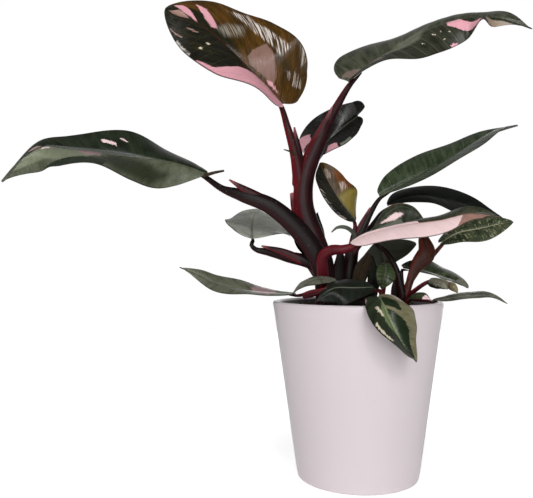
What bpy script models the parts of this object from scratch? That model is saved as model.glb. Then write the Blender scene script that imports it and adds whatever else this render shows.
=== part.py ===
# Potted pink princess philodendron: a tapered glazed pot, its potting mix, four shoots and their leaves.
# Z is up, X runs to the right, Y runs away from the front. The origin is the centre of the pot's foot.
# Sizes are typed in millimetres and turned into metres when a mesh is made.

import bpy
import bmesh
import numpy as np
from math import cos, pi, radians, sin

MM = 0.001
TOUCH_GAP = 0.3            # room left between pieces that touch
STALK_GAP = 0.45           # the same between a stalk and its blade, which are both faceted

# Pot
POT_HEIGHT = 149.0
RIM_RADIUS = 72.5
FOOT_RADIUS = 51.4
WALL = 4.5
FLOOR = 6.0
LIP_RADIUS = 1.5
FOOT_ROUNDING = 2.5
POT_SIDES = 40

# Potting mix
MIX_EDGE_HEIGHT = 142.0    # where the mix meets the wall
MIX_MOUND = 7.0            # how much higher the middle is
MIX_LUMP = 0.8             # height of the lumps on its surface
MIX_RINGS = 6
MIX_SIDES = 28

# Stems
STEM_FOOT_DEPTH = 30.0     # how far a shoot's foot is buried
STEM_SIDES = 8
FOOT_SIDES = 12

# Leaves
BLADE_THICKNESS = 0.8
BIG_GRID = (14, 4)         # rows of veins and cells from midrib to margin
SMALL_GRID = (9, 3)
VEIN_SWEEP = 0.10          # how far a side vein runs forward, as a part of the leaf's length
RIB_STEPS = 65             # points along a midrib
FRAME_REACH = 8            # how many of them its direction looks ahead and back, so that it turns slowly
LOBE_END_WIDTH = 0.3       # width at the lobes' very ends, as a part of their shoulders' width
LOBE_ROUNDING = 0.12       # length over which the lobes round off, as a part of the leaf's length


# Each leaf: the midrib's points from stalk to tip, the way its upper side looks, then widths and angles.
# roll turns the blade about its midrib at even stations from base to tip, and left and right are the angles
# at which the two halves rise from it there. width is how wide each half is, widest where it is widest,
# sharp how drawn-out its tip is, lobe how far its lobe reaches back past the stalk and base how wide that is;
# each is one value, or one for the left half and one for the right. pinch is a short local fold of the right
# half: its place, its length and its angle.
LEAVES = {
    "leaf_crown_left": dict(
        rib=((-64, -4, 319), (-81, -12, 335), (-107, -18, 361), (-134, -18, 383), (-165, -10, 400)),
        face=(0, -1, 0.2), width=(39, 48), roll=(20, 25, 20, 5), left=(30, 35, 10, 0, -10, -5),
        right=(5, 30, 15, 0, -5, -5), widest=(0.44, 0.32), sharp=0.7, lobe=(0.01, 0.07), base=(0.35, 0.95)),
    "leaf_crown_right": dict(
        rib=((-6, 8, 342), (22, 6, 363), (42, 2, 373), (62, -4, 384), (82, -12, 389), (100, -18, 390),
             (121, -22, 386), (144, -24, 377)),
        face=(0, -0.6, 1), width=(44, 31), roll=(-10, 0, 20), left=(25, 10, -5, -10, -10, 50),
        right=(20, 5, -25, -40, -50, -10), pinch=(0.75, 0.05, 60),
        widest=(0.52, 0.44), sharp=1.8, lobe=(0.02, 0.0), base=(0.8, 0.5)),
    "leaf_far_left": dict(
        rib=((-129, -12, 258), (-148, -16, 264), (-168, -20, 268), (-205, -26, 271), (-241, -32, 275),
             (-260, -36, 276), (-276, -40, 264), (-289, -44, 246)),
        face=(0, -0.6, 1), width=(38, 29), roll=(-5, -15, -15, -10),
        left=(-35, -30, 5, 25, 10, -35, -105), right=(-20, -15, 15, 10, -10, -40),
        widest=(0.46, 0.26), sharp=(1.0, 1.3), lobe=(0.0, 0.01), base=(0.15, 0.7)),
    "leaf_upright_right": dict(
        rib=((22, 12, 241), (49, 16, 255), (82, 22, 272), (126, 28, 299), (152, 30, 308)),
        face=(0, -0.6, 1), width=(24, 35), roll=(5, -10, -15), left=(25, 20, 10, 15),
        right=(5, 20, 20, 15), widest=(0.42, 0.6), sharp=(1.1, 0.8), lobe=0, base=(0.4, 0.05)),
    "leaf_dark_arched": dict(
        rib=((33, 32, 235), (49, 36, 242), (69, 38, 244), (92, 36, 238), (113, 32, 231), (139, 28, 222)),
        face=(0, -0.3, 1), width=(24, 25), roll=(-10, -5, 10), left=(15, 20, 30, 25),
        right=(-35, -15, -10, -15), widest=(0.42, 0.56), sharp=(1.2, 1.3), lobe=(0.0, 0.01),
        base=(0.2, 0.05)),
    "leaf_folded": dict(
        rib=((11, 2, 207), (23, 3, 221), (37, 4, 231), (48, 2, 229), (58, -4, 218)),
        face=(0, -0.6, 0.8), width=(9, 19), roll=(-20, 5, 10), left=(-40, -20, -45), right=(-25, -25, -55),
        widest=0.6, sharp=0.8, lobe=0.02, base=0.45),
    "leaf_long_pink": dict(
        rib=((-8, -26, 200), (7, -31, 206), (32, -37, 212), (61, -42, 216), (84, -45, 221),
             (107, -47, 218)),
        face=(0, -0.3, 1), width=(20, 20), roll=(0, -5, 10), left=(15, -5, 0, 5, 50),
        right=(-30, -20, -30, -20, -5), widest=(0.54, 0.38), sharp=(1.1, 0.9), lobe=(0.0, 0.01),
        base=(0.1, 0.4)),
    "leaf_speckled": dict(
        rib=((76, 5, 201), (89, 4, 208), (108, 4, 212), (126, 6, 216), (139, 8, 218)),
        face=(0, -0.6, 1), width=(13, 14), roll=(0, 15, 20), left=(-5, -5, 10), right=(0, -10, 0),
        widest=0.46, sharp=0.8, lobe=0.06, base=0.45),
    "leaf_dark_middle": dict(
        rib=((8, 46, 320), (-7, 41, 308), (-20, 37, 296), (-38, 32, 277)),
        face=(0, -1, 0.3), width=(26, 34), roll=(-5, 15, 35), left=(40, 30, 25, 15),
        right=(40, 0, -10, 0), widest=(0.54, 0.68), sharp=(0.8, 0.7), lobe=(0.0, 0.17), base=(0.45, 0.4)),
    "leaf_bronze_middle": dict(
        rib=((1, 8, 219), (-12, 4, 234), (-23, 4, 252), (-31, 8, 270)),
        face=(0.2, -1, 0.2), width=(20, 20), roll=(20, 20, -15), left=(15, 10, 20, 15),
        right=(-25, 15, 5, 30), widest=(0.48, 0.36), sharp=(1.0, 0.7), lobe=0, base=(0.35, 0.05)),
    "leaf_low_left": dict(
        rib=((-90, 0, 203), (-91, 22, 215), (-89, 42, 227), (-86, 60, 234)),
        face=(0, -0.2, 1), width=(25, 36), roll=(-5, 0, 5), left=(25, 15, -5, 15),
        right=(5, -15, -15, -5), widest=(0.46, 0.36), sharp=1.2, lobe=0.03, base=(0.55, 0.5)),
    "leaf_behind_stem": dict(
        rib=((-43, 18, 188), (-40, 22, 202), (-35, 26, 216), (-31, 28, 228)),
        face=(0, -1, 0.2), width=(17, 16), roll=(15, 20, 20), left=(15, 10, 0), right=(10, 0, -5),
        widest=0.42, sharp=1.2, lobe=0.02, base=0.15),
    "leaf_under_pink": dict(
        rib=((18, -2, 200), (23, 12, 193), (28, 26, 184), (32, 38, 175)),
        face=(0, 0.4, 1), width=(28, 31), roll=(5, 0, 5), left=(-45, -45, -25), right=(5, 5, 5),
        widest=0.36, sharp=1.3, lobe=0.05, base=0.3),
    "leaf_rim_left": dict(
        rib=((-53, -6, 156), (-72, -10, 156), (-92, -14, 158), (-121, -22, 165), (-134, -26, 172),
             (-149, -30, 178)),
        face=(0, -0.6, 1), width=(19, 14), roll=(25, 5, -25), left=(-5, 10, 15, 5, -30),
        right=(-5, 5, 10, 5, 0), widest=(0.48, 0.4), sharp=(1.7, 1.0), lobe=0, base=0.25),
    "leaf_grey_left": dict(
        rib=((-21, -24, 168), (-34, -28, 169), (-47, -34, 165), (-58, -38, 157)),
        face=(0, -0.6, 1), width=(9, 8), roll=(5, 10, 20), left=(-5, -5, 15), right=(-5, -10, 5),
        widest=0.42, sharp=1.2, lobe=0.02, base=0.25),
    "leaf_rim_front": dict(
        rib=((8, -44, 162), (-8, -48, 162), (-25, -50, 162), (-33, -50, 157), (-40, -50, 151)),
        face=(0, -0.7, 1), width=(18, 14), roll=(25, 20, 10), left=(-10, -15, -40, -45),
        right=(35, 15, 0, -15), widest=(0.5, 0.46), sharp=(1.2, 1.1), lobe=0, base=0.3),
    "leaf_over_rim": dict(
        rib=((8, -57, 156), (9, -68, 153), (11, -78, 145), (17, -82, 131), (24, -82.5, 118),
             (33, -81, 109)),
        face=(0, -1, 0.3), width=(23, 18), roll=(5, -20, -40), left=(0, 0, 0, 30), right=(10, 5, 30, 35),
        widest=0.54, sharp=1.0, lobe=(0.01, 0.0), base=(0.4, 0.6)),
    "leaf_crumpled": dict(
        rib=((20, -30, 181), (18, -36, 174), (16, -38, 167), (15, -36, 160)),
        face=(0, -1, 0.1), width=(9, 8), roll=(5, -10, 0), left=(0, 5, 20), right=(0, 10, 20),
        widest=0.5, sharp=1.0, lobe=0.06, base=0.3),
    "leaf_cluster_green": dict(
        rib=((43, 14, 178), (55, 12, 175), (68, 10, 172), (78, 9, 169), (88, 8, 166), (98, 4, 160)),
        face=(0, -0.5, 1), width=(21, 14), roll=(-30, -20, -30), left=(60, 30, 20, 25),
        right=(0, 5, -5, -30), widest=(0.5, 0.42), sharp=(0.7, 1.2), lobe=(0.03, 0.0), base=(0.2, 0.15)),
    "leaf_cluster_striped": dict(
        rib=((62, -16, 169), (69, -20, 167), (75, -22, 163), (81, -22, 157)),
        face=(0, -0.7, 1), width=(8, 8), roll=(-20, -15, 15), left=(-10, -10, 20), right=(-5, -5, 10),
        widest=0.44, sharp=0.9, lobe=0.02, base=0.3),
    "leaf_cluster_pale": dict(
        rib=((56, -24, 167), (61, -28, 166), (66, -30, 164), (70, -31, 160)),
        face=(0, -0.7, 1), width=(5, 8), roll=(20, 5, 20), left=(10, -5, -5), right=(5, 0, -10),
        widest=0.42, sharp=1.0, lobe=0.02, base=0.35),
    "leaf_rim_right": dict(
        rib=((60, -20, 151), (70, -19, 152), (82, -18, 154), (97, -16, 155), (111, -15, 154),
             (125, -14, 148)),
        face=(0, -0.5, 1), width=(10, 8), roll=(-15, -10, 5), left=(0, -5, 15), right=(-5, 0, 5),
        widest=(0.44, 0.38), sharp=1.2, lobe=0, base=(0.15, 0.25)),
    "leaf_rim_small": dict(
        rib=((36, -36, 152), (40, -39, 155), (45, -42, 156), (52, -46, 153)),
        face=(0, -0.6, 1), width=(5, 7), roll=(-10, -5, 20), left=(10, 0, 10), right=(10, 0, -5),
        widest=0.44, sharp=1.1, lobe=0.02, base=0.3),
}
BIG_LEAVES = ("leaf_crown_left", "leaf_crown_right", "leaf_far_left", "leaf_upright_right",
              "leaf_dark_arched", "leaf_long_pink", "leaf_dark_middle", "leaf_rim_left",
              "leaf_low_left", "leaf_under_pink")
PALE_LEAVES = ("leaf_low_left", "leaf_rim_left", "leaf_grey_left", "leaf_cluster_pale", "leaf_rim_right")

# Each shoot: the place and radius of its foot, then its stalks. A stalk is the leaf that it carries, the
# points that it passes on its way up, and its half-widths along them. flat is its depth as a part of its
# width, and under is how far it runs on below the leaf's midrib.
SHOOTS = {
    "stem_main": dict(foot=(-28, -3, 9.0), stalks=(
        dict(leaf="leaf_crown_left", under=14, flat=0.8,
             path=((-28, -2, 150), (-29, 0, 177), (-40, 1, 214), (-47.5, 1, 244), (-53, -2, 275),
                   (-59.5, -4, 297)),
             width=(8, 9, 8, 6.8, 4.8, 3.2, 2.2)),
        dict(leaf="leaf_crown_right", under=14, flat=0.7,
             path=((-27, -4, 150), (-29, -3, 180), (-37, -2, 203), (-46, -1, 231), (-44, 1, 258),
                   (-33, 3, 286), (-20, 6, 312)),
             width=(8, 9, 9.5, 9, 8, 7, 4, 2.4)),
        dict(leaf="leaf_far_left", under=14, flat=0.6,
             path=((-28, -6, 150), (-31, -9, 178), (-48, -12, 206), (-74, -15, 229), (-97, -16, 238),
                   (-115, -14, 244)),
             width=(8, 9, 8.5, 7.5, 6, 3, 2.2)),
        dict(leaf="leaf_low_left", under=8, flat=0.7,
             path=((-30, -4, 160), (-36, -4, 179), (-60, -2, 187), (-76, 0, 191), (-87, 0, 193),
                   (-91, -2, 197)),
             width=(5, 6, 5, 3.6, 2.2, 1.9, 1.7)),
        dict(leaf="leaf_long_pink", under=13, flat=0.9,
             path=((-28, -6, 155), (-31, -16, 176), (-31, -20, 187), (-24, -23, 192), (-15, -25, 192.5)),
             width=(5, 5, 4.8, 4.5, 3.9, 3.1)),
        dict(leaf="leaf_dark_middle", under=8, flat=1.0,
             path=((-33, 4, 190), (-40, 12, 232), (-36, 30, 268), (-22, 50, 290), (0, 54, 311)),
             width=(4, 3.5, 3, 2.4, 2, 1.6)),
        dict(leaf="leaf_behind_stem", under=5, flat=1.0,
             path=((-30, 2, 165), (-37, 14, 174), (-42, 22, 182)),
             width=(4, 2.5, 1.8, 1.5)),
        dict(leaf="leaf_rim_left", under=6, flat=1.0,
             path=((-30, -6, 157), (-40, -6, 156.5), (-48, -5.5, 154)),
             width=(3, 2, 1.5, 1.2)),
        dict(leaf="leaf_grey_left", under=4, flat=1.0,
             path=((-28, -8, 158), (-22, -18, 162), (-18.5, -22.5, 165)),
             width=(2.5, 1.6, 1.3, 1.0))),
        sheaths=(
            dict(path=((-46, -1, 250), (-41, 0, 264), (-33, 1, 288), (-21, 2, 317)),
                 width=(6, 6.5, 4, 0.8)),
            dict(path=((-50, 0, 250), (-51, -3, 276), (-54, -5, 298)), width=(6, 4.5, 0.8)),
            dict(path=((-66, -15, 225), (-88, -17, 238), (-109, -18, 251)), width=(6, 4.5, 0.8)),
            dict(path=((-48, -5, 184), (-64, -5, 191), (-82, -4, 196)), width=(4, 3, 0.8)),
            dict(path=((-44, 0, 212), (-52, -1, 228), (-56, -2, 241)), width=(5, 5, 2)))),
    "stem_right": dict(foot=(-5, 8, 7.5), stalks=(
        dict(leaf="leaf_upright_right", under=12, flat=0.8,
             path=((-5, 8, 150), (-5, 8, 175), (-2, 9, 194), (5, 10, 208), (14, 11, 226)),
             width=(7, 7, 5.5, 4, 2.6, 1.7)),
        dict(leaf="leaf_bronze_middle", under=6, flat=1.0,
             path=((-5, 8, 180), (-3, 8, 200), (0, 9, 213)),
             width=(3.5, 2.5, 1.9, 1.5)),
        dict(leaf="leaf_dark_arched", under=10, flat=1.0,
             path=((-4, 9, 190), (4, 16, 203), (16, 24, 214), (27, 30, 227)),
             width=(3, 2.6, 2.2, 1.9, 1.6)),
        dict(leaf="leaf_folded", under=5, flat=1.0,
             path=((-4, 7, 186), (2, 5, 195), (8, 3, 202)),
             width=(2.6, 2, 1.7, 1.3))),
        sheaths=(
            dict(path=((-1, 8, 198), (5, 9, 213), (13, 9, 230)), width=(4, 3, 0.7)),
            dict(path=((-4, 6, 195), (-2, 2, 206), (-9, -1, 212), (-17, -2, 212), (-22, -3, 208)),
                 width=(2.5, 2, 1.9, 1.5, 0.5)))),
    "stem_side": dict(foot=(39, -12, 6.0), stalks=(
        dict(leaf="leaf_speckled", under=8, flat=0.9,
             path=((39, -12, 150), (43, -11, 165), (51, -7, 178), (62, 1, 184), (71, 7, 192)),
             width=(3.5, 3.2, 3, 2.3, 1.9, 1.5)),
        dict(leaf="leaf_under_pink", under=8, flat=1.0,
             path=((37, -13, 150), (33, -12, 171), (29, -11, 182), (24, -8, 191)),
             width=(3.2, 3, 2.4, 2, 1.6)),
        dict(leaf="leaf_cluster_green", under=5, flat=1.0,
             path=((39, -8, 150), (40, 4, 162), (41, 11, 172)),
             width=(2.5, 2, 1.6, 1.3)),
        dict(leaf="leaf_cluster_striped", under=4, flat=1.0,
             path=((40, -12, 151), (49, -13, 160), (57, -15, 165.5)),
             width=(2, 1.7, 1.4, 1.1)),
        dict(leaf="leaf_cluster_pale", under=3, flat=1.0,
             path=((40, -13, 152), (46, -18, 158), (52, -22, 163)),
             width=(2, 1.5, 1.2, 1.0)),
        dict(leaf="leaf_rim_right", under=4, flat=1.0,
             path=((40, -12, 152), (48, -15, 150.5), (55, -19, 150)),
             width=(2, 1.5, 1.2, 1.0)),
        dict(leaf="leaf_rim_small", under=3, flat=1.0,
             path=((38, -14, 151), (36.5, -26, 149.5), (35.5, -32, 149)),
             width=(2, 1.5, 1.2, 1.0))),
        sheaths=(
            dict(path=((43, -11, 166), (50, -10, 180), (58, -9, 190), (56, -8, 202)),
                 width=(3.2, 5.5, 8, 5)),)),
    "stem_front": dict(foot=(13, -41, 4.5), stalks=(
        dict(leaf="leaf_rim_front", under=5, flat=1.0,
             path=((13, -41, 150), (14, -40.5, 156), (12.5, -41, 159)),
             width=(2.5, 2, 1.6, 1.3)),
        dict(leaf="leaf_over_rim", under=6, flat=1.0,
             path=((13, -42, 150), (11, -47, 153), (10, -51.5, 153.5)),
             width=(2.5, 2, 1.6, 1.3)),
        dict(leaf="leaf_crumpled", under=4, flat=1.0,
             path=((14, -40, 150), (18, -30, 163), (22, -23, 177), (21.5, -25, 182)),
             width=(2.2, 1.8, 1.5, 1.3, 1.0))),
        sheaths=()),
}

# Colours, roughness of the finishes
GLAZE = ("glazed_white", (0.78, 0.74, 0.75), 0.25)
MIX = ("dark_mix", (0.03, 0.022, 0.018), 0.95)
MAROON = ("maroon_stem", (0.09, 0.012, 0.018), 0.35)
GREEN = ("dark_leaf", (0.02, 0.035, 0.022), 0.3)
PALE = ("grey_green_leaf", (0.14, 0.17, 0.13), 0.4)
PINK = ("pink_leaf", (0.78, 0.45, 0.48), 0.4)
BRONZE = ("bronze_leaf", (0.09, 0.045, 0.015), 0.25)


def clear_scene():
    for thing in list(bpy.data.objects):
        bpy.data.objects.remove(thing, do_unlink=True)


def material(finish):
    name, colour, roughness = finish
    made = bpy.data.materials.get(name)
    if made is None:
        made = bpy.data.materials.new(name)
        made.use_nodes = True
        shader = made.node_tree.nodes["Principled BSDF"]
        shader.inputs["Base Color"].default_value = (*colour, 1)
        shader.inputs["Roughness"].default_value = roughness
        shader.inputs["Metallic"].default_value = 0.0
    return made


def mesh_object(name, points, faces, finish):
    mesh = bpy.data.meshes.new(name)
    mesh.from_pydata([tuple(MM * float(value) for value in point) for point in points], [], faces)
    mesh.validate()
    thing = bpy.data.objects.new(name, mesh)
    bpy.context.scene.collection.objects.link(thing)
    thing.data.materials.append(material(finish))
    thing.data.shade_smooth()
    thing.data.set_sharp_from_angle(angle=radians(50))
    return thing


def combine(target, tools, operation, solver="EXACT"):
    """Joins the tools to the target, or cuts them from it, and removes them."""
    group = bpy.data.collections.new("tools")
    bpy.context.scene.collection.children.link(group)
    for tool in tools:
        bpy.context.scene.collection.objects.unlink(tool)
        group.objects.link(tool)
    modifier = target.modifiers.new("combine", "BOOLEAN")
    modifier.operation = operation
    modifier.operand_type = "COLLECTION"
    modifier.collection = group
    modifier.solver = solver
    bpy.context.view_layer.objects.active = target
    with bpy.context.temp_override(object=target, active_object=target):
        bpy.ops.object.modifier_apply(modifier=modifier.name)
    for tool in tools:
        bpy.data.objects.remove(tool, do_unlink=True)
    bpy.data.collections.remove(group)


def keep_largest_shell(thing):
    """Fills the small hollows that crossing stalks seal between them, by deleting their inner faces."""
    shell = bmesh.new()
    shell.from_mesh(thing.data)
    groups = []
    left = set(shell.verts)
    while left:
        front = [left.pop()]
        group = list(front)
        while front:
            for edge in front.pop().link_edges:
                for vert in edge.verts:
                    if vert in left:
                        left.remove(vert)
                        front.append(vert)
                        group.append(vert)
        groups.append(group)
    groups.sort(key=len)
    for group in groups[:-1]:
        bmesh.ops.delete(shell, geom=group, context="VERTS")
    shell.to_mesh(thing.data)
    shell.free()


# Curves and frames

def unit(vectors):
    vectors = np.asarray(vectors, float)
    return vectors / np.linalg.norm(vectors, axis=-1, keepdims=True)


def smooth_curve(points, count):
    """A centripetal Catmull-Rom curve through the points, at even steps along its length."""
    points = np.asarray(points, float)
    points = np.vstack([2 * points[0] - points[1], points, 2 * points[-1] - points[-2]])
    steps = 24
    dense = []
    for k in range(1, len(points) - 2):
        p0, p1, p2, p3 = points[k - 1:k + 3]
        t0 = 0.0
        t1 = t0 + np.linalg.norm(p1 - p0) ** 0.5
        t2 = t1 + np.linalg.norm(p2 - p1) ** 0.5
        t3 = t2 + np.linalg.norm(p3 - p2) ** 0.5
        t = np.linspace(t1, t2, steps, endpoint=False)[:, None]
        a1 = (t1 - t) / (t1 - t0) * p0 + (t - t0) / (t1 - t0) * p1
        a2 = (t2 - t) / (t2 - t1) * p1 + (t - t1) / (t2 - t1) * p2
        a3 = (t3 - t) / (t3 - t2) * p2 + (t - t2) / (t3 - t2) * p3
        b1 = (t2 - t) / (t2 - t0) * a1 + (t - t0) / (t2 - t0) * a2
        b2 = (t3 - t) / (t3 - t1) * a2 + (t - t1) / (t3 - t1) * a3
        dense.append((t2 - t) / (t2 - t1) * b1 + (t - t1) / (t2 - t1) * b2)
    dense = np.vstack(dense + [points[-2][None]])
    run = np.concatenate([[0], np.cumsum(np.linalg.norm(np.diff(dense, axis=0), axis=1))])
    even = np.linspace(0, run[-1], count)
    return np.stack([np.interp(even, run, dense[:, axis]) for axis in range(3)], -1), run[-1]


def along(places, values):
    """Reads a smooth curve through values that are spread evenly from 0 to 1 at the given places."""
    values = np.asarray(values, float)
    slopes = np.gradient(values)
    spot = np.clip(places, 0, 1) * (len(values) - 1)
    first = np.minimum(spot.astype(int), len(values) - 2)
    t = spot - first
    ease = t * t * (3 - 2 * t)
    return ((1 - ease) * values[first] + ease * values[first + 1]
            + t * (1 - t) ** 2 * slopes[first] - t * t * (1 - t) * slopes[first + 1])


def along_points(places, stations, points):
    return np.stack([np.interp(places, stations, points[:, axis]) for axis in range(3)], -1)


# Leaves

def half_width(place, widest, sharp, base):
    """The half's width, as a part of its greatest, from the lobe at 0 to the tip at 1."""
    start = np.arcsin(base) / pi
    bend = np.log((0.5 - start) / (1 - start)) / np.log(widest)
    phase = start + (1 - start) * np.clip(place, 0, 1) ** bend
    wave = np.abs(np.sin(pi * phase))
    outline = np.where(phase > 0.5, wave ** sharp, wave)
    corner = 1 - np.minimum(place / LOBE_ROUNDING, 1)
    return outline * (LOBE_END_WIDTH + (1 - LOBE_END_WIDTH) * np.sqrt(np.clip(1 - corner ** 2, 0, 1)))


def midrib(leaf):
    """Points, directions and upper-side normals at even stations along the midrib, and its length."""
    points, length = smooth_curve(leaf["rib"], RIB_STEPS)
    longer = np.pad(points, ((FRAME_REACH, FRAME_REACH), (0, 0)), mode="reflect", reflect_type="odd")
    ahead = unit(longer[2 * FRAME_REACH:] - longer[:-2 * FRAME_REACH])
    stations = np.linspace(0, 1, len(points))
    face = np.asarray(leaf["face"], float)
    level = unit(face - (ahead @ face)[:, None] * ahead)
    across = np.cross(ahead, level)
    roll = np.radians(along(stations, leaf["roll"]))[:, None]
    return stations, points, ahead, level * np.cos(roll) + across * np.sin(roll), length


def blade_halves(leaf, rows, cells):
    """Grids of points on the upper side, one for each half, from the midrib to the margin."""
    stations, points, ahead, normals, length = midrib(leaf)
    row = np.linspace(0, 1, rows + 1) ** 1.25
    start = row ** 0.95
    out = np.linspace(0, 1, cells + 1)
    own = [np.broadcast_to(leaf[key], 2) for key in ("width", "widest", "sharp", "lobe", "base")]
    halves = {}
    for name, sign, width, widest, sharp, lobe, base in zip(("left", "right"), (-1, 1), *own):
        end = start + VEIN_SWEEP * np.sin(pi * row) * (1 - row) ** 0.3 - lobe * (1 - row) ** 3
        place = (end + lobe) / (1 + lobe)
        reach = start[:, None] + (end - start)[:, None] * out
        reach -= lobe * ((1 - row) ** 6)[:, None] * (np.sin(pi * out / 2) - out)
        inside = np.clip(reach, 0, 1)
        forward = unit(along_points(inside, stations, ahead))
        up = unit(along_points(inside, stations, normals))
        side = np.cross(forward, up)
        centre = along_points(inside, stations, points)
        centre = centre + forward * ((reach - inside) * length)[..., None]
        lateral = width * half_width(place, widest, sharp, base)[:, None] * out
        rise = along(inside, leaf[name])
        if name == "right" and "pinch" in leaf:
            where, spread, angle = leaf["pinch"]
            rise = rise + angle * np.exp(-((inside - where) / spread) ** 2)
        rise = np.radians(rise)
        halves[name] = centre + (lateral * np.cos(rise))[..., None] * sign * side \
            + (lateral * np.sin(rise))[..., None] * up
    return halves


def blade_mesh(leaf, rows, cells):
    """A closed blade: the upper side, the lower side under it, and the edge between them."""
    halves = blade_halves(leaf, rows, cells)
    points, number = [], {}
    for i in range(rows):
        for j in range(-cells, cells + 1):
            number[i, j] = len(points)
            points.append(halves["right" if j >= 0 else "left"][i, abs(j)])
    tip = len(points)
    points.append(halves["right"][rows, 0])
    for j in range(-cells, cells + 1):
        number[rows, j] = tip
    upper = []
    for i in range(rows):
        for j in range(-cells, cells):
            a, b = number[i, j], number[i, j + 1]
            c, d = number[i + 1, j + 1], number[i + 1, j]
            if i == rows - 1:
                upper.append((a, b, c))
            elif j >= 0:
                upper += [(a, b, c), (a, c, d)]
            else:
                upper += [(a, b, d), (b, c, d)]
    points = np.array(points)
    triangles = np.array(upper)
    first, second, third = points[triangles[:, 0]], points[triangles[:, 1]], points[triangles[:, 2]]
    flat = np.cross(second - first, third - first)
    normals = np.zeros_like(points)
    for corner in range(3):
        np.add.at(normals, triangles[:, corner], flat)
    count = len(points)
    both = np.vstack([points, points - BLADE_THICKNESS * unit(normals)])
    rim = [number[0, j] for j in range(-cells, cells + 1)] + [number[i, cells] for i in range(1, rows)]
    rim += [tip] + [number[i, -cells] for i in range(rows - 1, 0, -1)]
    faces = upper + [(c + count, b + count, a + count) for a, b, c in upper]
    for a, b in zip(rim, rim[1:] + rim[:1]):
        faces += [(a, a + count, b + count), (a, b + count, b)]
    return both, faces


def make_leaf(name):
    rows, cells = BIG_GRID if name in BIG_LEAVES else SMALL_GRID
    finish = PALE if name in PALE_LEAVES else GREEN
    if name == "leaf_long_pink":
        finish = PINK
    if name in ("leaf_crown_left", "leaf_bronze_middle"):
        finish = BRONZE
    points, faces = blade_mesh(LEAVES[name], rows, cells)
    return mesh_object(name, points, faces, finish)


# Stems

def tube_mesh(path, widths, flat, count, sides):
    """A tube of oval section with a rounded far end. Its wide way lies across the view from the front."""
    points, _ = smooth_curve(path, count)
    ahead = unit(np.gradient(points, axis=0))
    front = np.array([0.15, -1.0, 0.1])
    wide = unit(np.cross(ahead, front))
    deep = np.cross(ahead, wide)
    half = along(np.linspace(0, 1, count), widths)
    angles = np.linspace(0, 2 * pi, sides, endpoint=False)
    rings = points[:, None] + half[:, None, None] * (np.cos(angles)[None, :, None] * wide[:, None]
                                                     + flat * np.sin(angles)[None, :, None] * deep[:, None])
    verts = [tuple(point) for ring in rings for point in ring]
    faces = [(0, j + 1, j) for j in range(1, sides - 1)]
    for i in range(count - 1):
        for j in range(sides):
            a, b = i * sides + j, i * sides + (j + 1) % sides
            faces += [(a, b, b + sides), (a, b + sides, a + sides)]
    first = (count - 1) * sides
    verts.append(tuple(points[-1] + ahead[-1] * half[-1] * 0.6))
    faces += [(first + j, first + (j + 1) % sides, len(verts) - 1) for j in range(sides)]
    return verts, faces


def stalk_end(stalk):
    """Points below a leaf's midrib, where its stalk runs on as the rib."""
    leaf = LEAVES[stalk["leaf"]]
    stations, points, ahead, normals, length = midrib(leaf)
    radius = stalk["width"][-1]
    droop = max(0.0, -min(leaf["left"][0], leaf["right"][0]))
    drop = (radius + BLADE_THICKNESS + STALK_GAP) / cos(radians(droop))
    end_drop = (0.5 + BLADE_THICKNESS + STALK_GAP) / cos(radians(droop))
    run = stalk["under"] / length
    places = (0.0, run / 2, run)
    drops = (drop, (drop + end_drop) / 2, end_drop)
    return [tuple(along_points(place, stations, points) - depth * along_points(place, stations, normals))
            for place, depth in zip(places, drops)]


def make_stalk(stalk):
    path = list(stalk["path"]) + stalk_end(stalk)
    widths = list(stalk["width"]) + [0.5 + 0.5 * stalk["width"][-1], 0.5]
    _, length = smooth_curve(path, 3)
    runs = [0.0]
    for a, b in zip(path, path[1:]):
        runs.append(runs[-1] + float(np.linalg.norm(np.subtract(b, a))))
    places = np.linspace(0, runs[-1], 33)
    even = list(np.interp(places, runs, widths))
    count = int(np.clip(length / 11, 6, 18))
    points, faces = tube_mesh(path, even, stalk["flat"], count, STEM_SIDES)
    return mesh_object("stalk", points, faces, MAROON)


def make_sheath(sheath):
    points, faces = tube_mesh(sheath["path"], sheath["width"], 0.45, 7, STEM_SIDES)
    return mesh_object("sheath", points, faces, MAROON)


def foot_cylinder(name, foot, clearance):
    """The round foot that stands in the mix, or with a clearance the tool that makes its hole."""
    x, y, radius = foot
    top = MIX_EDGE_HEIGHT + MIX_MOUND + 4
    bottom = MIX_EDGE_HEIGHT + MIX_MOUND - STEM_FOOT_DEPTH - clearance
    if clearance:
        top += 10
    shell = bmesh.new()
    bmesh.ops.create_cone(shell, cap_ends=True, segments=FOOT_SIDES, radius1=(radius + clearance) * MM,
                          radius2=(radius + clearance) * MM, depth=(top - bottom) * MM)
    bmesh.ops.translate(shell, verts=shell.verts, vec=(x * MM, y * MM, (top + bottom) / 2 * MM))
    mesh = bpy.data.meshes.new(name)
    shell.to_mesh(mesh)
    shell.free()
    thing = bpy.data.objects.new(name, mesh)
    bpy.context.scene.collection.objects.link(thing)
    thing.data.materials.append(material(MAROON))
    return thing


def make_shoot(name):
    shoot = SHOOTS[name]
    foot = foot_cylinder(name, shoot["foot"], 0.0)
    pieces = [make_stalk(stalk) for stalk in shoot["stalks"]]
    pieces += [make_sheath(sheath) for sheath in shoot["sheaths"]]
    # The exact solver leaves open edges where many thin stalks cross close to their foot
    combine(foot, pieces, "UNION", "MANIFOLD")
    keep_largest_shell(foot)
    foot.data.shade_smooth()
    foot.data.set_sharp_from_angle(angle=radians(50))
    return foot


# Pot and potting mix

def wall_radius(height):
    return FOOT_RADIUS + (RIM_RADIUS - FOOT_RADIUS) * height / POT_HEIGHT


def arc(centre_r, centre_z, radius, first, last, steps):
    turns = np.radians(np.linspace(first, last, steps))
    return [(centre_r + radius * cos(turn), centre_z + radius * sin(turn)) for turn in turns]


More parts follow.
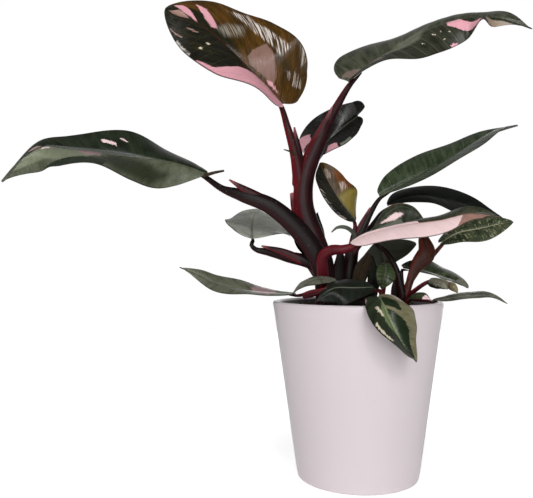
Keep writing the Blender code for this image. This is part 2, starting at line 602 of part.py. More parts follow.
def turned(name, outline, sides, finish):
    """Turns an outline of (radius, height) points round the upright axis; its ends lie on the axis."""
    angles = np.linspace(0, 2 * pi, sides, endpoint=False)
    points = [(0, 0, outline[0][1])]
    for radius, height in outline[1:-1]:
        points += [(radius * cos(angle), radius * sin(angle), height) for angle in angles]
    points.append((0, 0, outline[-1][1]))
    faces = []
    rings = len(outline) - 2
    for j in range(sides):
        k = (j + 1) % sides
        faces.append((0, 1 + k, 1 + j))
        for ring in range(rings - 1):
            first = 1 + ring * sides
            faces.append((first + j, first + k, first + sides + k, first + sides + j))
        first = 1 + (rings - 1) * sides
        faces.append((first + j, first + k, len(points) - 1))
    return mesh_object(name, points, faces, finish)


def make_pot():
    outside = [(0, 0)]
    outside += arc(FOOT_RADIUS + 0.1 - FOOT_ROUNDING, FOOT_ROUNDING, FOOT_ROUNDING, -90, -5, 4)
    outside += [(wall_radius(POT_HEIGHT / 2), POT_HEIGHT / 2)]
    outside += arc(RIM_RADIUS - LIP_RADIUS, POT_HEIGHT - LIP_RADIUS, LIP_RADIUS, 0, 90, 4)
    inside = arc(RIM_RADIUS - WALL + LIP_RADIUS, POT_HEIGHT - LIP_RADIUS, LIP_RADIUS, 90, 180, 4)
    inside += [(wall_radius(FLOOR) - WALL, FLOOR), (0, FLOOR)]
    return turned("pot", outside + inside, POT_SIDES, GLAZE)


def mix_height(x, y):
    """The mounded surface of the mix, with lumps that die away at the wall."""
    wall = wall_radius(MIX_EDGE_HEIGHT) - WALL
    part = min(1.0, (x * x + y * y) ** 0.5 / wall)
    lumps = sin(0.31 * x + 0.9) * sin(0.27 * y) + 0.6 * sin(0.57 * x - 0.41 * y)
    return MIX_EDGE_HEIGHT + MIX_MOUND * (1 - part ** 2) + MIX_LUMP * lumps * (1 - part ** 4)


def make_mix():
    edge = wall_radius(MIX_EDGE_HEIGHT) - WALL - TOUCH_GAP - 0.15
    low = wall_radius(FLOOR) - WALL - TOUCH_GAP - 0.15
    angles = np.linspace(0, 2 * pi, MIX_SIDES, endpoint=False)
    points = [(0, 0, mix_height(0, 0))]
    for ring in range(1, MIX_RINGS + 1):
        radius = edge * ring / MIX_RINGS
        for angle in angles:
            x, y = radius * cos(angle), radius * sin(angle)
            points.append((x, y, mix_height(x, y)))
    floor_height = FLOOR + TOUCH_GAP
    points += [(low * cos(angle), low * sin(angle), floor_height) for angle in angles]
    points.append((0, 0, floor_height))
    faces = []
    for j in range(MIX_SIDES):
        k = (j + 1) % MIX_SIDES
        faces.append((0, 1 + j, 1 + k))
        for ring in range(MIX_RINGS):
            first = 1 + ring * MIX_SIDES
            faces.append((first + j, first + MIX_SIDES + j, first + MIX_SIDES + k))
            faces.append((first + j, first + MIX_SIDES + k, first + k))
        first = 1 + MIX_RINGS * MIX_SIDES
        faces.append((first + k, first + j, len(points) - 1))
    mix = mesh_object("potting_mix", points, faces, MIX)
    holes = [foot_cylinder("hole", shoot["foot"], TOUCH_GAP) for shoot in SHOOTS.values()]
    combine(mix, holes, "DIFFERENCE")
    return mix


clear_scene()
make_pot()
make_mix()
for shoot_name in SHOOTS:
    make_shoot(shoot_name)
for leaf_name in LEAVES:
    make_leaf(leaf_name)
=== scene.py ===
# %% [markdown]
# # A potted pink princess philodendron
# A young climbing plant with long glossy leaves, some of them splashed with pink, stands in a plain tapered
# white pot. The solid model gives every piece its place and size. This lesson dresses it: each leaf gets a
# curved, veined blade, each stalk a smooth skin, the pot its glaze and the potting mix its crumbs.

# %% Load the solid model
import bpy
import random
import numpy as np
from math import cos, pi, radians, sin
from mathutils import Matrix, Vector


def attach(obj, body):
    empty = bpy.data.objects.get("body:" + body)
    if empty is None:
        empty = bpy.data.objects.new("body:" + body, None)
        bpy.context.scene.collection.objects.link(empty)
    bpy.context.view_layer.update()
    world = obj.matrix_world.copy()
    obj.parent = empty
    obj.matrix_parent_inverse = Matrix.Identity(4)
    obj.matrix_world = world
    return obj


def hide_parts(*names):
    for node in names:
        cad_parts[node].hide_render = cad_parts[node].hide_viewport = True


MM = 0.001
SEED = 7
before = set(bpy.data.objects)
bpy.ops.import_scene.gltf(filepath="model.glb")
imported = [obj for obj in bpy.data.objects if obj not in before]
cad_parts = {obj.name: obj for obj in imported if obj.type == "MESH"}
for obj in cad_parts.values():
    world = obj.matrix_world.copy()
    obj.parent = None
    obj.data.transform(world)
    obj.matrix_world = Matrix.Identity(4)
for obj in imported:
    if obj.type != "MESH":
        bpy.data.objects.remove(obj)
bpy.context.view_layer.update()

# %% [markdown]
# ## Working by hand, in code
# Every operator acts on what is selected, so these small helpers start each piece from an empty selection.
# `apply` adds a modifier and applies it at once, as one would with the button in the modifier panel.

# %% Helpers for selecting and finishing
def pick(thing):
    """Selects one object alone and makes it active."""
    if bpy.context.mode != "OBJECT":
        bpy.ops.object.mode_set(mode="OBJECT")
    bpy.ops.object.select_all(action="DESELECT")
    thing.select_set(True)
    bpy.context.view_layer.objects.active = thing


def apply(thing, kind, **settings):
    """Adds a modifier, sets it and applies it."""
    pick(thing)
    bpy.ops.object.modifier_add(type=kind)
    modifier = thing.modifiers[-1]
    for name, value in settings.items():
        setattr(modifier, name, value)
    bpy.ops.object.modifier_apply(modifier=modifier.name)


def tidy_mesh(thing, gap=0.004, outward=True):
    """Merges the points that coincide and, on a closed form, turns its faces outwards."""
    pick(thing)
    bpy.ops.object.mode_set(mode="EDIT")
    bpy.ops.mesh.select_all(action="SELECT")
    bpy.ops.mesh.remove_doubles(threshold=gap * MM)
    if outward:
        bpy.ops.mesh.normals_make_consistent(inside=False)
    bpy.ops.object.mode_set(mode="OBJECT")


def dress(thing, finish, slot, *nodes):
    """Gives a piece its finish, lets it ride on the one body and hides the solids that it stands for."""
    thing.data.materials.clear()
    thing.data.materials.append(finish)
    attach(thing, "root")
    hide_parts(*nodes)
    return thing


# %% Helpers that start a finish
def shade(red, green, blue):
    """A colour typed as on a screen, from 0 to 255, as the light values that the shader works with."""
    parts = np.array([red, green, blue]) / 255
    light = np.where(parts <= 0.04045, parts / 12.92, ((parts + 0.055) / 1.055) ** 2.4)
    return (*[float(part) for part in light], 1.0)


def new_finish(name, roughness=0.5, gloss=0.5):
    """A new material with its node tree and its shader."""
    finish = bpy.data.materials.new(name)
    finish.use_nodes = True
    shader = finish.node_tree.nodes["Principled BSDF"]
    shader.inputs["Roughness"].default_value = roughness
    shader.inputs["Specular IOR Level"].default_value = gloss
    return finish, finish.node_tree, shader


def node(tree, kind, feeds=(), **settings):
    """Adds a node, sets it up, and feeds its inputs with values or with other nodes' outputs."""
    made = tree.nodes.new("ShaderNode" + kind)
    for name, value in settings.items():
        setattr(made, name, value)
    for key, value in dict(feeds).items():
        if isinstance(value, bpy.types.NodeSocket):
            tree.links.new(value, made.inputs[key])
        else:
            made.inputs[key].default_value = value
    return made


# %% Helpers for sums on values, places and colours
def math(tree, operation, first, second=0.0, third=0.0):
    """One step of sums on plain values."""
    return node(tree, "Math", {0: first, 1: second, 2: third}, operation=operation).outputs[0]


def times(tree, first, second):
    """Multiplies two values."""
    return math(tree, "MULTIPLY", first, second)


def plus(tree, first, second):
    """Adds two values."""
    return math(tree, "ADD", first, second)


def vector(tree, operation, first, second=(0, 0, 0), third=(0, 0, 0)):
    """One step of sums on places; a dot product or a length comes out as a plain value."""
    feeds = {0: first, 1: second}
    if operation == "MULTIPLY_ADD":
        feeds[2] = third
    made = node(tree, "VectorMath", feeds, operation=operation)
    return made.outputs["Value" if operation in ("DOT_PRODUCT", "LENGTH") else "Vector"]


def ramp(tree, value, low, high, to_low=0.0, to_high=1.0):
    """Turns a value from low to high into one from to_low to to_high, and stops at both ends."""
    feeds = {"Value": value, "From Min": low, "From Max": high, "To Min": to_low, "To Max": to_high}
    return node(tree, "MapRange", feeds, interpolation_type="SMOOTHSTEP").outputs["Result"]


def blend(tree, share, under, over):
    """Mixes two colours: the first where share is 0, the second where it is 1."""
    return node(tree, "Mix", {0: share, 6: under, 7: over}, data_type="RGBA").outputs[2]


def two_tone(tree, share, dark, light):
    """Blends two colours that are typed as on a screen."""
    return blend(tree, share, shade(*dark), shade(*light))


def noise(tree, place, scale, detail=3.0, rough=0.55):
    """Soft clouds from 0 to 1; detail adds finer clouds on top, rough makes those stronger."""
    feeds = {"Vector": place, "Scale": scale, "Detail": detail, "Roughness": rough}
    return node(tree, "TexNoise", feeds).outputs["Fac"]


def bump(tree, shader, height, depth_mm):
    """Lets light fall as if the surface rose by the depth where height is 1."""
    feeds = {"Height": height, "Distance": depth_mm * MM}
    tree.links.new(node(tree, "Bump", feeds).outputs["Normal"], shader.inputs["Normal"])


# %% [markdown]
# ## Pot
# The real pot is slip-cast: one thin wall that leans out evenly from a flat foot to a soft round lip. It
# could be a spun profile, but drawing it up ring by ring from a disc shows how such a form grows: extrude
# the disc's edge, widen it, and repeat up the outside, over the lip and down the inside.

# %% The pot's sizes and profile
POT_HEIGHT, RIM_RADIUS, FOOT_RADIUS = 149.0, 72.5, 51.4
WALL, FLOOR = 4.5, 6.0
FOOT_ROUND, FLOOR_ROUND = 2.4, 4.0       # radii of the foot's outer edge and of the floor's corner inside
LIP_ROOM = 0.05                          # keeps the lip's arc just inside the two wall lines
STRAIGHT_START = 8.0                     # the wall is straight from this far above the foot and below the rim
POT_SIDES = 144


def wall_radius(height):
    """The outer radius at a height; the wall leans out evenly."""
    return FOOT_RADIUS + (RIM_RADIUS - FOOT_RADIUS) * height / POT_HEIGHT


def arc(centre, radius, first, last, steps):
    """Points of an arc of the profile, as (distance from the axis, height)."""
    turns = np.radians(np.linspace(first, last, steps))
    return [(centre[0] + radius * cos(turn), centre[1] + radius * sin(turn)) for turn in turns]


def pot_profile():
    """Up the outside, over the lip, down the inside and in to the floor, as (radius, height)."""
    lip = WALL / 2 - LIP_ROOM
    top, corner = POT_HEIGHT - STRAIGHT_START, FLOOR + FLOOR_ROUND
    profile = arc((FOOT_RADIUS - FOOT_ROUND, FOOT_ROUND), FOOT_ROUND, -90, -8, 6)
    profile += [(wall_radius(height), height) for height in np.linspace(STRAIGHT_START, top, 12)]
    profile += arc((RIM_RADIUS - lip - LIP_ROOM, POT_HEIGHT - lip), lip, 8, 172, 11)
    profile += [(wall_radius(height) - WALL, height) for height in np.linspace(top, corner, 8)]
    return profile + arc((wall_radius(FLOOR) - WALL - FLOOR_ROUND, corner), FLOOR_ROUND, 0, -90, 5)


print("rings in the pot's profile:", len(pot_profile()))


# %% Draw the pot up from a disc
def draw_up(name, profile, sides):
    """Starts from a disc at the profile's first ring and extrudes its edge from ring to ring."""
    bpy.ops.object.select_all(action="DESELECT")
    radius, height = profile[0]
    bpy.ops.mesh.primitive_circle_add(vertices=sides, radius=radius * MM, fill_type="NGON",
                                      location=(0, 0, height * MM))
    thing = bpy.context.object
    thing.name = name
    bpy.ops.object.transform_apply(location=True, rotation=True, scale=True)
    bpy.ops.object.mode_set(mode="EDIT")
    bpy.ops.mesh.select_all(action="SELECT")
    for (narrow, low), (wide, high) in zip(profile, profile[1:]):
        bpy.ops.mesh.extrude_region_move(TRANSFORM_OT_translate={"value": (0, 0, (high - low) * MM)})
        bpy.ops.transform.resize(value=(wide / narrow, wide / narrow, 1), center_override=(0, 0, high * MM))
    bpy.ops.object.mode_set(mode="OBJECT")
    return thing


def close_foot(thing):
    """Fills the hole that the first extrusion left under the foot."""
    pick(thing)
    bpy.ops.object.mode_set(mode="EDIT")
    bpy.ops.mesh.select_mode(type="EDGE")
    bpy.ops.mesh.select_all(action="DESELECT")
    bpy.ops.mesh.select_non_manifold()
    bpy.ops.mesh.edge_face_add()
    bpy.ops.mesh.select_all(action="SELECT")
    bpy.ops.mesh.normals_make_consistent(inside=False)
    bpy.ops.mesh.select_mode(type="VERT")
    bpy.ops.object.mode_set(mode="OBJECT")


pot = draw_up("pot_glazed", pot_profile(), POT_SIDES)
close_foot(pot)
pick(pot)
bpy.ops.object.shade_smooth_by_angle(angle=radians(40))
print("pot:", len(pot.data.polygons), "faces")

# %% [markdown]
# ## Glaze
# A tin-white glaze with a breath of pink has a satin gloss. Its colour drifts by a shade over the wall, a few
# pale specks lie in it, and a very fine bump keeps the wall and the lip from looking like plastic. Inside,
# the wall is dark brown up to just under the lip. Both the distance from the wall's outer face and the height
# are measured on the pot itself, so the dark band ends at the lip without any cut in the form.

# %% Glaze the pot
DARK_BAND_DEPTH = (0.7, 0.9)             # the dark band begins between these parts of the wall's thickness
DARK_BAND_TOP = (0.1475, 0.1485)         # and fades out between these heights, in metres
DARK_BAND_SHARE, DARK_BAND_RAGGED = 0.9, 0.002


def glaze_finish():
    """Off-white glaze with clouds, specks and a dark brown band inside under the lip."""
    finish, tree, shader = new_finish("pot_glaze", roughness=0.3)
    place = node(tree, "TexCoord").outputs["Object"]
    clouds = noise(tree, place, 9.0, detail=1.0)
    colour = two_tone(tree, clouds, (216, 205, 209), (220, 210, 214))
    specks = ramp(tree, noise(tree, place, 300.0, detail=1.0), 0.7, 0.85, 0.0, 0.12)
    colour = blend(tree, specks, colour, shade(190, 178, 180))
    height = node(tree, "SeparateXYZ", {0: place}).outputs[2]
    reach = vector(tree, "LENGTH", vector(tree, "MULTIPLY", place, (1, 1, 0)))
    slope = (RIM_RADIUS - FOOT_RADIUS) / POT_HEIGHT
    from_wall = math(tree, "SUBTRACT", math(tree, "MULTIPLY_ADD", height, slope, FOOT_RADIUS * MM), reach)
    inner = ramp(tree, from_wall, *[part * WALL * MM for part in DARK_BAND_DEPTH])
    ragged = math(tree, "MULTIPLY_ADD", clouds, DARK_BAND_RAGGED, height)
    # the inner face turns dark brown below a ragged line just under the lip
    dark_band = times(tree, inner, ramp(tree, ragged, *DARK_BAND_TOP, DARK_BAND_SHARE, 0.0))
    tree.links.new(blend(tree, dark_band, colour, shade(36, 28, 24)), shader.inputs["Base Color"])
    bump(tree, shader, noise(tree, place, 420.0, detail=1.0), 0.04)
    return finish


dress(pot, glaze_finish(), "pot_glaze", "pot")
print("glaze on the pot:", len(pot.active_material.node_tree.nodes), "nodes")

# %% [markdown]
# ## Sheets of points
# Leaves, stalks and the mound of potting mix all bend in ways that no single operator gives. Each starts as
# a flat grid, which brings a tidy UV map along, and its points are then put where a rule says. The map stays
# with the points, so a vein or a streak that is painted along it follows the leaf or the stalk.

# %% Helper that puts a grid in place
def shaped_grid(name, places):
    """A grid whose points go to the given places, in mm: one row after another, each from left to right."""
    rows, columns = places.shape[0] - 1, places.shape[1] - 1
    bpy.ops.object.select_all(action="DESELECT")
    bpy.ops.mesh.primitive_grid_add(x_subdivisions=columns, y_subdivisions=rows, size=2)
    sheet = bpy.context.object
    sheet.name = name
    flat = np.empty(len(sheet.data.vertices) * 3)
    sheet.data.vertices.foreach_get("co", flat)
    flat = flat.reshape(-1, 3)
    column = np.rint((flat[:, 0] + 1) / 2 * columns).astype(int)
    row = np.rint((flat[:, 1] + 1) / 2 * rows).astype(int)
    sheet.data.vertices.foreach_set("co", (places[row, column] * MM).ravel())
    sheet.data.update()
    return sheet


# %% [markdown]
# ## Potting mix
# Peat and bark fill the pot to just under its rim, a little higher round the stems. The mound is one closed
# form, lumpy on top. Loose crumbs and a few white perlite beads lie on it; each is a small faceted ball.

# %% Mound the mix
MIX_EDGE_HEIGHT, MIX_MOUND, MIX_DEPTH = 142.0, 7.0, 20.0
MIX_GAP = 0.5                            # room between the mound and the wall, for the wall's facets
MIX_RADIUS = wall_radius(MIX_EDGE_HEIGHT) - WALL - MIX_GAP
LUMP_HEIGHT, CLOD_HEIGHT = 0.8, 0.5


def mix_height(x, y):
    """The lumpy surface, which flattens out at the wall."""
    part = np.clip(np.hypot(x, y) / MIX_RADIUS, 0, 1)
    lumps = np.sin(0.31 * x + 0.9) * np.sin(0.27 * y) + 0.6 * np.sin(0.57 * x - 0.41 * y)
    clods = np.sin(1.3 * x + 0.7 * y) * np.sin(1.1 * y - 0.4 * x)
    clods = clods + 0.7 * np.sin(2.3 * x + 1) * np.sin(2.1 * y)
    rough = LUMP_HEIGHT * lumps + CLOD_HEIGHT * clods
    return MIX_EDGE_HEIGHT + MIX_MOUND * (1 - part ** 2) + rough * (1 - part ** 6)


def mound_places(rings, sides):
    """Rings from the middle of the top out to the wall, down it, and back under to the middle."""
    turns = np.linspace(0, 2 * pi, sides + 1)
    rows = []
    for radius in np.linspace(0, MIX_RADIUS, rings):
        x, y = radius * np.cos(turns), radius * np.sin(turns)
        rows.append(np.stack([x, y, mix_height(x, y)], -1))
    low = MIX_EDGE_HEIGHT - MIX_DEPTH
    for radius in (wall_radius(low) - WALL - MIX_GAP, 0.0):
        x, y = radius * np.cos(turns), radius * np.sin(turns)
        rows.append(np.stack([x, y, np.full(sides + 1, low)], -1))
    return np.array(rows)


mix = shaped_grid("potting_mix_mound", mound_places(64, 160))
tidy_mesh(mix)
pick(mix)
bpy.ops.object.shade_smooth_by_angle(angle=radians(60))
print("mix surface:", len(mix.data.polygons), "faces")


# %% Colour the mix
def mix_finish(name, dark, light, pale):
    """Damp grains in two shades, with paler bits among them and a deep bump."""
    finish, tree, shader = new_finish(name, roughness=0.95)
    place = node(tree, "TexCoord").outputs["Object"]
    coarse = noise(tree, place, 240.0, detail=4.0, rough=0.7)
    colour = two_tone(tree, ramp(tree, coarse, 0.35, 0.7), dark, light)
    bits = ramp(tree, noise(tree, place, 520.0, detail=2.0), 0.66, 0.72)
    tree.links.new(blend(tree, bits, colour, shade(*pale)), shader.inputs["Base Color"])
    bump(tree, shader, plus(tree, coarse, noise(tree, place, 900.0)), 1.2)
    return finish


soil = mix_finish("potting_mix", (14, 10, 8), (48, 34, 26), (96, 74, 56))
dress(mix, soil, "potting_mix", "potting_mix")
print("finish of the mix:", len(soil.node_tree.nodes), "nodes")

# %% Scatter crumbs and perlite
CRUMBS = 420
CRUMB_REACH = 0.96                   # of the mound's radius
CRUMB_SIZES, CRUMB_SQUASH = (0.5, 1.7), (0.5, 1.0)
CRUMB_RISE = 0.3                     # of a crumb's size, from the surface up to its middle
BEADS = ((-8, -48, 1.9), (-30, -40, 1.5), (20, -52, 1.6), (36, -45, 1.3), (-46, -30, 1.6), (-55, -12, 1.3),
         (2, -60, 1.5), (52, -26, 1.4), (-18, -55, 1.3), (30, 28, 1.6), (-34, 34, 1.5), (8, 50, 1.4))


def grain(x, y, size, squash, turn):
    """One faceted ball, flattened, turned and pressed a third into the mix."""
    height = float(mix_height(np.array(x), np.array(y))) + size * CRUMB_RISE
    bpy.ops.mesh.primitive_ico_sphere_add(subdivisions=1, radius=size * MM,
                                          location=(x * MM, y * MM, height * MM),
                                          rotation=(turn, turn * 0.7, turn * 1.9), scale=(1, squash, 0.7))
    return bpy.context.object


def scatter(name, grains):
    """Makes all the grains of one kind and joins them into one piece."""
    bpy.ops.object.select_all(action="DESELECT")
    made = [grain(*values) for values in grains]
    for thing in made:
        thing.select_set(True)
    bpy.context.view_layer.objects.active = made[0]
    bpy.ops.object.join()
    bpy.ops.object.transform_apply(location=True, rotation=True, scale=True)
    joined = bpy.context.object
    joined.name = name
    return joined


draw = random.Random(SEED)
crumb_list = []
for _ in range(CRUMBS):
    distance, turn = MIX_RADIUS * CRUMB_REACH * draw.random() ** 0.5, draw.uniform(0, 2 * pi)
    crumb_list.append((distance * cos(turn), distance * sin(turn), draw.uniform(*CRUMB_SIZES),
                       draw.uniform(*CRUMB_SQUASH), draw.uniform(0, pi)))
bead_list = [(*bead, 0.8, 0.6 * number) for number, bead in enumerate(BEADS)]
bark = mix_finish("bark_crumbs", (22, 15, 11), (74, 52, 38), (120, 98, 74))
perlite = mix_finish("perlite", (190, 186, 180), (222, 218, 212), (170, 160, 150))
dress(scatter("potting_mix_crumbs", crumb_list), bark, "potting_mix", "potting_mix")
dress(scatter("perlite_beads", bead_list), perlite, "potting_mix", "potting_mix")
print("loose on the mix:", CRUMBS, "crumbs and", len(BEADS), "beads")

# %% [markdown]
# ## Leaves
# A leaf of this plant is a long heart: two halves that rise or droop from a grooved midrib, side veins that
# sweep forward to the margin, lobes that round back past the stalk. The table below holds what the solid
# leaves were made from, so each fine blade lies just where its solid is. All lengths are in millimetres.
#
# `rib` is the midrib's path, `face` the way that the upper side looks, and `roll` turns it about the midrib,
# in degrees from the base to the tip. A pair of numbers is for the left and the right half: `width` is how
# wide a half is, `widest` where along the leaf, `sharp` how drawn out its tip is, `base` how wide it starts
# and `lobe` how far it reaches back past the stalk. `left` and `right` say how steeply each half rises or,
# below 0, droops, from base to tip. `pinch` folds the right half up at one place: where, how long, how far.

# %% The leaves' table
LEAVES = {
    "leaf_crown_left": dict(
        rib=((-64, -4, 319), (-81, -12, 335), (-107, -18, 361), (-134, -18, 383), (-165, -10, 400)),
        face=(0, -1, 0.2), width=(39, 48), roll=(20, 25, 20, 5), left=(30, 35, 10, 0, -10, -5),
        right=(5, 30, 15, 0, -5, -5), widest=(0.44, 0.32), sharp=0.7, lobe=(0.01, 0.07), base=(0.35, 0.95)),
    "leaf_crown_right": dict(
        rib=((-6, 8, 342), (22, 6, 363), (42, 2, 373), (62, -4, 384), (82, -12, 389), (100, -18, 390),
             (121, -22, 386), (144, -24, 377)),
        face=(0, -0.6, 1), width=(44, 31), roll=(-10, 0, 20), left=(25, 10, -5, -10, -10, 50),
        right=(20, 5, -25, -40, -50, -10), pinch=(0.75, 0.05, 60),
        widest=(0.52, 0.44), sharp=1.8, lobe=(0.02, 0.0), base=(0.8, 0.5)),
    "leaf_far_left": dict(
        rib=((-129, -12, 258), (-148, -16, 264), (-168, -20, 268), (-205, -26, 271), (-241, -32, 275),
             (-260, -36, 276), (-276, -40, 264), (-289, -44, 246)),
        face=(0, -0.6, 1), width=(38, 29), roll=(-5, -15, -15, -10),
        left=(-35, -30, 5, 25, 10, -35, -105), right=(-20, -15, 15, 10, -10, -40),
        widest=(0.46, 0.26), sharp=(1.0, 1.3), lobe=(0.0, 0.01), base=(0.15, 0.7)),
    "leaf_upright_right": dict(
        rib=((22, 12, 241), (49, 16, 255), (82, 22, 272), (126, 28, 299), (152, 30, 308)),
        face=(0, -0.6, 1), width=(24, 35), roll=(5, -10, -15), left=(25, 20, 10, 15),
        right=(5, 20, 20, 15), widest=(0.42, 0.6), sharp=(1.1, 0.8), lobe=0, base=(0.4, 0.05)),
    "leaf_dark_arched": dict(
        rib=((33, 32, 235), (49, 36, 242), (69, 38, 244), (92, 36, 238), (113, 32, 231), (139, 28, 222)),
        face=(0, -0.3, 1), width=(24, 25), roll=(-10, -5, 10), left=(15, 20, 30, 25),
        right=(-35, -15, -10, -15), widest=(0.42, 0.56), sharp=(1.2, 1.3), lobe=(0.0, 0.01),
        base=(0.2, 0.05)),
    "leaf_folded": dict(
        rib=((11, 2, 207), (23, 3, 221), (37, 4, 231), (48, 2, 229), (58, -4, 218)),
        face=(0, -0.6, 0.8), width=(9, 19), roll=(-20, 5, 10), left=(-40, -20, -45), right=(-25, -25, -55),
        widest=0.6, sharp=0.8, lobe=0.02, base=0.45),
    "leaf_long_pink": dict(
        rib=((-8, -26, 200), (7, -31, 206), (32, -37, 212), (61, -42, 216), (84, -45, 221),
             (107, -47, 218)),
        face=(0, -0.3, 1), width=(20, 20), roll=(0, -5, 10), left=(15, -5, 0, 5, 50),
        right=(-30, -20, -30, -20, -5), widest=(0.54, 0.38), sharp=(1.1, 0.9), lobe=(0.0, 0.01),
        base=(0.1, 0.4)),
    "leaf_speckled": dict(
        rib=((76, 5, 201), (89, 4, 208), (108, 4, 212), (126, 6, 216), (139, 8, 218)),
        face=(0, -0.6, 1), width=(13, 14), roll=(0, 15, 20), left=(-5, -5, 10), right=(0, -10, 0),
        widest=0.46, sharp=0.8, lobe=0.06, base=0.45),
    "leaf_dark_middle": dict(
        rib=((8, 46, 320), (-7, 41, 308), (-20, 37, 296), (-38, 32, 277)),
        face=(0, -1, 0.3), width=(26, 34), roll=(-5, 15, 35), left=(40, 30, 25, 15),
        right=(40, 0, -10, 0), widest=(0.54, 0.68), sharp=(0.8, 0.7), lobe=(0.0, 0.17), base=(0.45, 0.4)),
    "leaf_bronze_middle": dict(
        rib=((1, 8, 219), (-12, 4, 234), (-23, 4, 252), (-31, 8, 270)),
        face=(0.2, -1, 0.2), width=(20, 20), roll=(20, 20, -15), left=(15, 10, 20, 15),
        right=(-25, 15, 5, 30), widest=(0.48, 0.36), sharp=(1.0, 0.7), lobe=0, base=(0.35, 0.05)),
    "leaf_low_left": dict(
        rib=((-90, 0, 203), (-91, 22, 215), (-89, 42, 227), (-86, 60, 234)),
        face=(0, -0.2, 1), width=(25, 36), roll=(-5, 0, 5), left=(25, 15, -5, 15),
        right=(5, -15, -15, -5), widest=(0.46, 0.36), sharp=1.2, lobe=0.03, base=(0.55, 0.5)),
    "leaf_behind_stem": dict(
        rib=((-43, 18, 188), (-40, 22, 202), (-35, 26, 216), (-31, 28, 228)),
        face=(0, -1, 0.2), width=(17, 16), roll=(15, 20, 20), left=(15, 10, 0), right=(10, 0, -5),
        widest=0.42, sharp=1.2, lobe=0.02, base=0.15),
    "leaf_under_pink": dict(
        rib=((18, -2, 200), (23, 12, 193), (28, 26, 184), (32, 38, 175)),
        face=(0, 0.4, 1), width=(28, 31), roll=(5, 0, 5), left=(-45, -45, -25), right=(5, 5, 5),
        widest=0.36, sharp=1.3, lobe=0.05, base=0.3),
    "leaf_rim_left": dict(
        rib=((-53, -6, 156), (-72, -10, 156), (-92, -14, 158), (-121, -22, 165), (-134, -26, 172),
             (-149, -30, 178)),
        face=(0, -0.6, 1), width=(19, 14), roll=(25, 5, -25), left=(-5, 10, 15, 5, -30),
        right=(-5, 5, 10, 5, 0), widest=(0.48, 0.4), sharp=(1.7, 1.0), lobe=0, base=0.25),
    "leaf_grey_left": dict(
        rib=((-21, -24, 168), (-34, -28, 169), (-47, -34, 165), (-58, -38, 157)),
        face=(0, -0.6, 1), width=(9, 8), roll=(5, 10, 20), left=(-5, -5, 15), right=(-5, -10, 5),
        widest=0.42, sharp=1.2, lobe=0.02, base=0.25),
    "leaf_rim_front": dict(
        rib=((8, -44, 162), (-8, -48, 162), (-25, -50, 162), (-33, -50, 157), (-40, -50, 151)),
        face=(0, -0.7, 1), width=(18, 14), roll=(25, 20, 10), left=(-10, -15, -40, -45),
        right=(35, 15, 0, -15), widest=(0.5, 0.46), sharp=(1.2, 1.1), lobe=0, base=0.3),
    "leaf_over_rim": dict(
        rib=((8, -57, 156), (9, -68, 153), (11, -78, 145), (17, -82, 131), (24, -82.5, 118),
             (33, -81, 109)),
        face=(0, -1, 0.3), width=(23, 18), roll=(5, -20, -40), left=(0, 0, 0, 30), right=(10, 5, 30, 35),
        widest=0.54, sharp=1.0, lobe=(0.01, 0.0), base=(0.4, 0.6)),
    "leaf_crumpled": dict(
        rib=((20, -30, 181), (18, -36, 174), (16, -38, 167), (15, -36, 160)),
        face=(0, -1, 0.1), width=(9, 8), roll=(5, -10, 0), left=(0, 5, 20), right=(0, 10, 20),
        widest=0.5, sharp=1.0, lobe=0.06, base=0.3),
    "leaf_cluster_green": dict(
        rib=((43, 14, 178), (55, 12, 175), (68, 10, 172), (78, 9, 169), (88, 8, 166), (98, 4, 160)),
        face=(0, -0.5, 1), width=(21, 14), roll=(-30, -20, -30), left=(60, 30, 20, 25),
        right=(0, 5, -5, -30), widest=(0.5, 0.42), sharp=(0.7, 1.2), lobe=(0.03, 0.0), base=(0.2, 0.15)),
    "leaf_cluster_striped": dict(
        rib=((62, -16, 169), (69, -20, 167), (75, -22, 163), (81, -22, 157)),
        face=(0, -0.7, 1), width=(8, 8), roll=(-20, -15, 15), left=(-10, -10, 20), right=(-5, -5, 10),
        widest=0.44, sharp=0.9, lobe=0.02, base=0.3),
    "leaf_cluster_pale": dict(
        rib=((56, -24, 167), (61, -28, 166), (66, -30, 164), (70, -31, 160)),
        face=(0, -0.7, 1), width=(5, 8), roll=(20, 5, 20), left=(10, -5, -5), right=(5, 0, -10),
        widest=0.42, sharp=1.0, lobe=0.02, base=0.35),
    "leaf_rim_right": dict(
        rib=((60, -20, 151), (70, -19, 152), (82, -18, 154), (97, -16, 155), (111, -15, 154),
             (125, -14, 148)),
        face=(0, -0.5, 1), width=(10, 8), roll=(-15, -10, 5), left=(0, -5, 15), right=(-5, 0, 5),
        widest=(0.44, 0.38), sharp=1.2, lobe=0, base=(0.15, 0.25)),
    "leaf_rim_small": dict(
        rib=((36, -36, 152), (40, -39, 155), (45, -42, 156), (52, -46, 153)),
        face=(0, -0.6, 1), width=(5, 7), roll=(-10, -5, 20), left=(10, 0, 10), right=(10, 0, -5),
        widest=0.44, sharp=1.1, lobe=0.02, base=0.3),
}
print("leaves in the table:", len(LEAVES))


# %% Curves through a few points
CURVE_STEPS = 24         # points between two given ones, before they are spread evenly


def unit(vectors):
    """The same directions, each with a length of 1."""
    vectors = np.asarray(vectors, float)
    return vectors / np.linalg.norm(vectors, axis=-1, keepdims=True)


